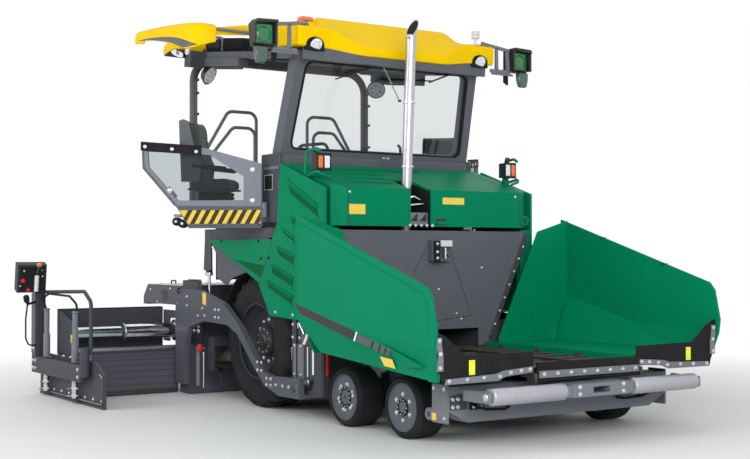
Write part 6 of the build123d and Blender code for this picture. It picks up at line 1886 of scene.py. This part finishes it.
def tube_trim(ending, s):
    """Chrome collar, end ring and inner sleeve of the telescopic tube."""
    out = (0, s, 0)
    collar = Fitting(f"tube_collar_{ending}")
    collar.turned((-1870, s * 1264, 705), out, ((0, 86.5), (0, 124), (24, 124), (30, 118), (30, 98),
        (36, 95), (36, 86.5)), chrome, 48)
    collar.done("screed", "chrome_tube", bevel=0)
    ring = Fitting(f"tube_ring_{ending}")
    ring.turned((-1870, s * 1904, 705), out, ((0, 84), (0, 91), (4, 93), (14, 93), (19, 90), (19, 70),
        (17, 70)), bright_steel, 48)
    ring.done(f"tube_stage_{ending}", "steel", bevel=0)
    sleeve = Fitting(f"inner_tube_sleeve_{ending}")
    sleeve.turned((-1870, s * 1955, 705), out, ((0, 60), (0, 66.3), (592, 66.3), (592, 60)), chrome, 48)
    sleeve.done(f"screed_extension_{ending}", "chrome_tube", bevel=0)


def screed_cheek(ending, s):
    """Plate that closes the screed's end behind the extension's wall."""
    cheek = Fitting(f"screed_cheek_{ending}")
    cheek.side(((-2180, 570), (-2005, 570), (-2005, 835), (-1790, 845), (-1790, 930), (-2180, 930)),
        s * 1272, s * 1286, frame_grey)
    cheek.done("screed", "machine_grey", bevel=2)


def gate_panel(ending, s, body):
    """Leaning control box at the gate: buttons, lever, knob, joystick and hoses."""
    panel = Fitting(f"gate_panel_{ending}")

    def on_panel(y, z, proud):
        base = Vector((-2357 + 38 * (z - 1150) / 305, s * y, z))
        return base + Vector((305, 0, -38)).normalized() * proud
    for margin, proud, finish in ((0, (0, 12), black_plastic), (24, (11, 17), black_frame)):
        panel.skin([[at(*on_panel(y, z, q)) for y, z in ((2644 + margin, 1150 + margin),
            (2968 - margin, 1150 + margin), (2968 - margin, 1456 - margin),
            (2644 + margin, 1456 - margin))] for q in proud], finish)
    for y, z, radius, reach, finish in ((2913, 1285, 24, 34, red_knob), (2850, 1180, 22, 34, red_knob),
            (2900, 1390, 12, 26, zinc), (2700, 1400, 12, 26, label_green), (2690, 1330, 10, 24,
            cover_white), (2940, 1225, 9, 22, cover_white)):
        panel.bar(on_panel(y, z, 12), on_panel(y, z, reach), radius, finish, 20, 4)
    panel.bar(on_panel(2766, 1165, 46), on_panel(2762, 1345, 40), 24, cover_white, 24, 6)
    panel.bar(on_panel(2764, 1350, 40), on_panel(2743, 1440, 44), 17, black_plastic, 20, 4)
    panel.bar(on_panel(2743, 1440, 44), on_panel(2743, 1480, 44), 30, orange_lens, 24, 10)
    panel.done(body, "black_rubber", bevel=3)
    stick = Fitting(f"gate_stick_{ending}")
    stick.turned((-2350, s * 2850, 1010), (0.1, s * 0.2, 1), ((0, 8), (20, 12), (40, 32), (90, 34),
        (112, 24), (116, 8)), black_rubber, 20, closed=False)
    stick.bar((-2400, s * 2742, 1040), (-2350, s * 2850, 1020), 14, black_frame)
    stick.tube(((-2350, s * 2850, 1010), (-2352, s * 2868, 860), (-2356, s * 2866, 640),
        (-2362, s * 2830, 560), (-2380, s * 2742, 560)), 9, 60, black_rubber)
    stick.tube(((-2300, s * 2700, 1120), (-2230, s * 2712, 1070), (-2190, s * 2690, 960),
        (-2190, s * 2680, 700)), 14, 60, black_rubber)
    stick.tube(((-2300, s * 2690, 1090), (-2100, s * 2690, 1140), (-1500, s * 2680, 1130),
        (-1350, s * 2660, 1050), (-1340, s * 2650, 900)), 12, 60, black_rubber)
    stick.done(body, "black_rubber", bevel=0)


def gate_columns(ending, s, body):
    """Height adjusters of the gate: sleeved columns above the beam, spindles and cross grips below."""
    y = s * 2680
    columns = Fitting(f"gate_columns_{ending}")
    spindles = Fitting(f"gate_spindles_{ending}")
    for x in (-2200, -1330):
        columns.turned((x, y, 436), (0, 0, 1), ((0, 26.5), (0, 38), (250, 38), (262, 30), (508, 30),
            (520, 26.5)), machine_grey, 32)
        columns.turned((x, y, 955), (0, 0, 1), ((0, 2), (0, 34), (16, 34), (22, 26), (22, 2)), machine_grey,
            28)
        columns.block(x - 55, x + 55, y - s * 8, s * 2630, 430, 446, machine_grey)
        spindles.turned((x, y, 62), (0, 0, 1), ((0, 26.5), (0, 31), (182, 31), (182, 26.5)), chrome, 28)
        for i in range(9):
            spindles.turned((x, y, 90 + 17 * i), (0, 0, 1), ((0, 29), (4, 36), (9, 36), (13, 29)),
                bright_steel, 24)
        for z in (92, 168):
            spindles.bar((x - 84, y, z), (x + 84, y, z), 8, zinc, 16)
            spindles.bar((x, s * 2640, z), (x, s * 2760, z), 8, zinc, 16)
            spindles.turned((x, y, z - 10), (0, 0, 1), ((0, 27), (0, 40), (20, 40), (20, 27)), zinc, 24)
    columns.done(body, "machine_grey", bevel=1.5)
    spindles.done(body, "chrome_tube", bevel=0)


def gate_trim(ending, s):
    """End gate: post plates, deflector, rails, bolts and the extension's front panel."""
    body = f"screed_extension_{ending}"
    out = (0, s, 0)
    face = s * 2625
    gate_panel(ending, s, body)
    gate_columns(ending, s, body)
    post = Fitting(f"gate_post_{ending}")
    post.block(-2534, -2406, s * 2736, s * 2742, 470, 1205, frame_grey)
    post.block(-2540, -2400, s * 2640, s * 2744, 1206, 1216, frame_grey)
    post.side(((-2550, 436), (-2290, 436), (-2330, 560), (-2400, 690), (-2540, 690)), s * 2636, s * 2646,
        frame_grey)
    post.turned((-1030, s * 2690, 300), (0, 0, 1), ((0, 30), (0, 46), (8, 50), (302, 50), (310, 46),
        (310, 30)), dark_grey, 32)
    post.turned((-1050, s * 2640, 470), (0, 0, 1), ((0, 21), (0, 34), (60, 34), (60, 21)), machine_grey, 24)
    post.done(body, "machine_grey", bevel=4)
    deflector = Fitting(f"gate_deflector_{ending}")
    deflector.side(((-2548, 450), (-905, 450), (-664, 330), (-664, 350), (-900, 466), (-2548, 466)),
        s * 2598, s * 2632, dark_grey)
    deflector.side(((-860, 40), (-700, 24), (-672, 40), (-672, 296), (-720, 330), (-850, 398), (-880, 390),
        (-880, 60)), face, s * 2631, dark_grey)
    deflector.side(((-770, 350), (-700, 316), (-694, 322), (-768, 358)), s * 2631, s * 2635, cover_white)
    deflector.side(((-2548, 2), (-664, 2), (-664, 22), (-2548, 30)), face, s * 2634, worn_steel)
    deflector.bar((-2540, s * 2645, 52), (-700, s * 2645, 52), 9, machine_grey, 16)
    deflector.done(body, "dark_grey", bevel=2)
    wall = Fitting(f"extension_trim_{ending}")
    wall.block(-2232, -2194, s * 1300, s * 2548, 955, 966, black_frame)
    wall.block(-1768, -1760, s * 1290, s * 2545, 12, 40, worn_steel)
    wall.block(-1766, -1758, s * 1290, s * 2500, 60, 470, frame_grey)
    for z in (112, 190, 262, 330, 392, 440):
        wall.side(((-1758, z), (-1750, z + 3), (-1750, z + 9), (-1758, z + 12)), s * 1292, s * 2498,
            frame_grey)
    wall.bar((-1795, s * 1290, 515), (-1795, s * 2540, 515), 27, bright_steel, 28)
    wall.done(body, "dark_grey", bevel=2)
    label(f"gate_label_{ending}", body, ((-1800, s * 2552, 610), (-1720, s * 2552, 610),
        (-1720, s * 2552, 700), (-1800, s * 2552, 700)), (0, s * 2, 0), label_yellow)
    rows = [((x, s * 2730, z), out, 12) for x, z in ((-2500, 300), (-2420, 300), (-2500, 385), (-2420, 385),
        (-1120, 300), (-1120, 380))]
    rows += [((x, s * 2742, z), out, 10) for x, z in ((-2500, 520), (-2440, 520), (-2500, 1150),
        (-2440, 1150))]
    rows += [((x, face, 80), out, 12) for x in range(-2100, -700, 230)]
    rows += [((x, s * 2612, 466), (0, 0, 1), 14) for x in range(-2050, -1400, 210)]
    bolts(f"gate_bolts_{ending}", body, rows, zinc)


cover_trim()
for ending, s in sides():
    screed_trim(ending, s)
    screed_cheek(ending, s)
    tube_trim(ending, s)
    gate_trim(ending, s)


# Augers and lift cylinders

def auger_flights(ending, s):
    """Smooth screw flights round the auger's shaft, standing for the stepped ones."""
    body = f"auger_{ending}"
    made = Fitting(f"auger_screw_{ending}")
    y0, y1, pitch = 85, 1180, 360
    made.turned((-1100, s * y0, 350), (0, s, 0), ((0, 20), (0, 40), (y1 - y0, 40), (y1 - y0, 20)),
        worn_steel, 32)
    rings = []
    steps = int((y1 - y0 - 40) / pitch * 28)
    for i in range(steps + 1):
        a = 2 * pi * i / 28
        y = y0 + 20 + i * pitch / 28
        c, k = cos(a), sin(a)
        rings.append([at(-1100 + r * c, s * (y + dy), 350 + r * k) for r, dy in ((36, -7), (193, -4),
            (193, 4), (36, 7))])
    made.skin(rings, worn_steel)
    piece = made.done(body, "steel", bevel=0)
    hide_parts(body)


def lift_trim(ending, s):
    """Gland and top collar of a lift cylinder."""
    low, high = Vector((-1150, s * 1200, 1030)), Vector((-1170, s * 1200, 1700))
    up = (high - low).normalized()
    made = Fitting(f"lift_gland_{ending}")
    foot = low + up * 312
    made.turned(foot, up, ((0, 20), (0, 44), (30, 44), (36, 39), (36, 20)), bright_steel, 28)
    made.turned(high - up * 70, up, ((0, 20), (0, 42), (14, 42), (18, 38), (18, 20)), bright_steel, 28)
    made.done("lift_barrels", "steel", bevel=0)


for ending, s in sides():
    auger_flights(ending, s)
    lift_trim(ending, s)
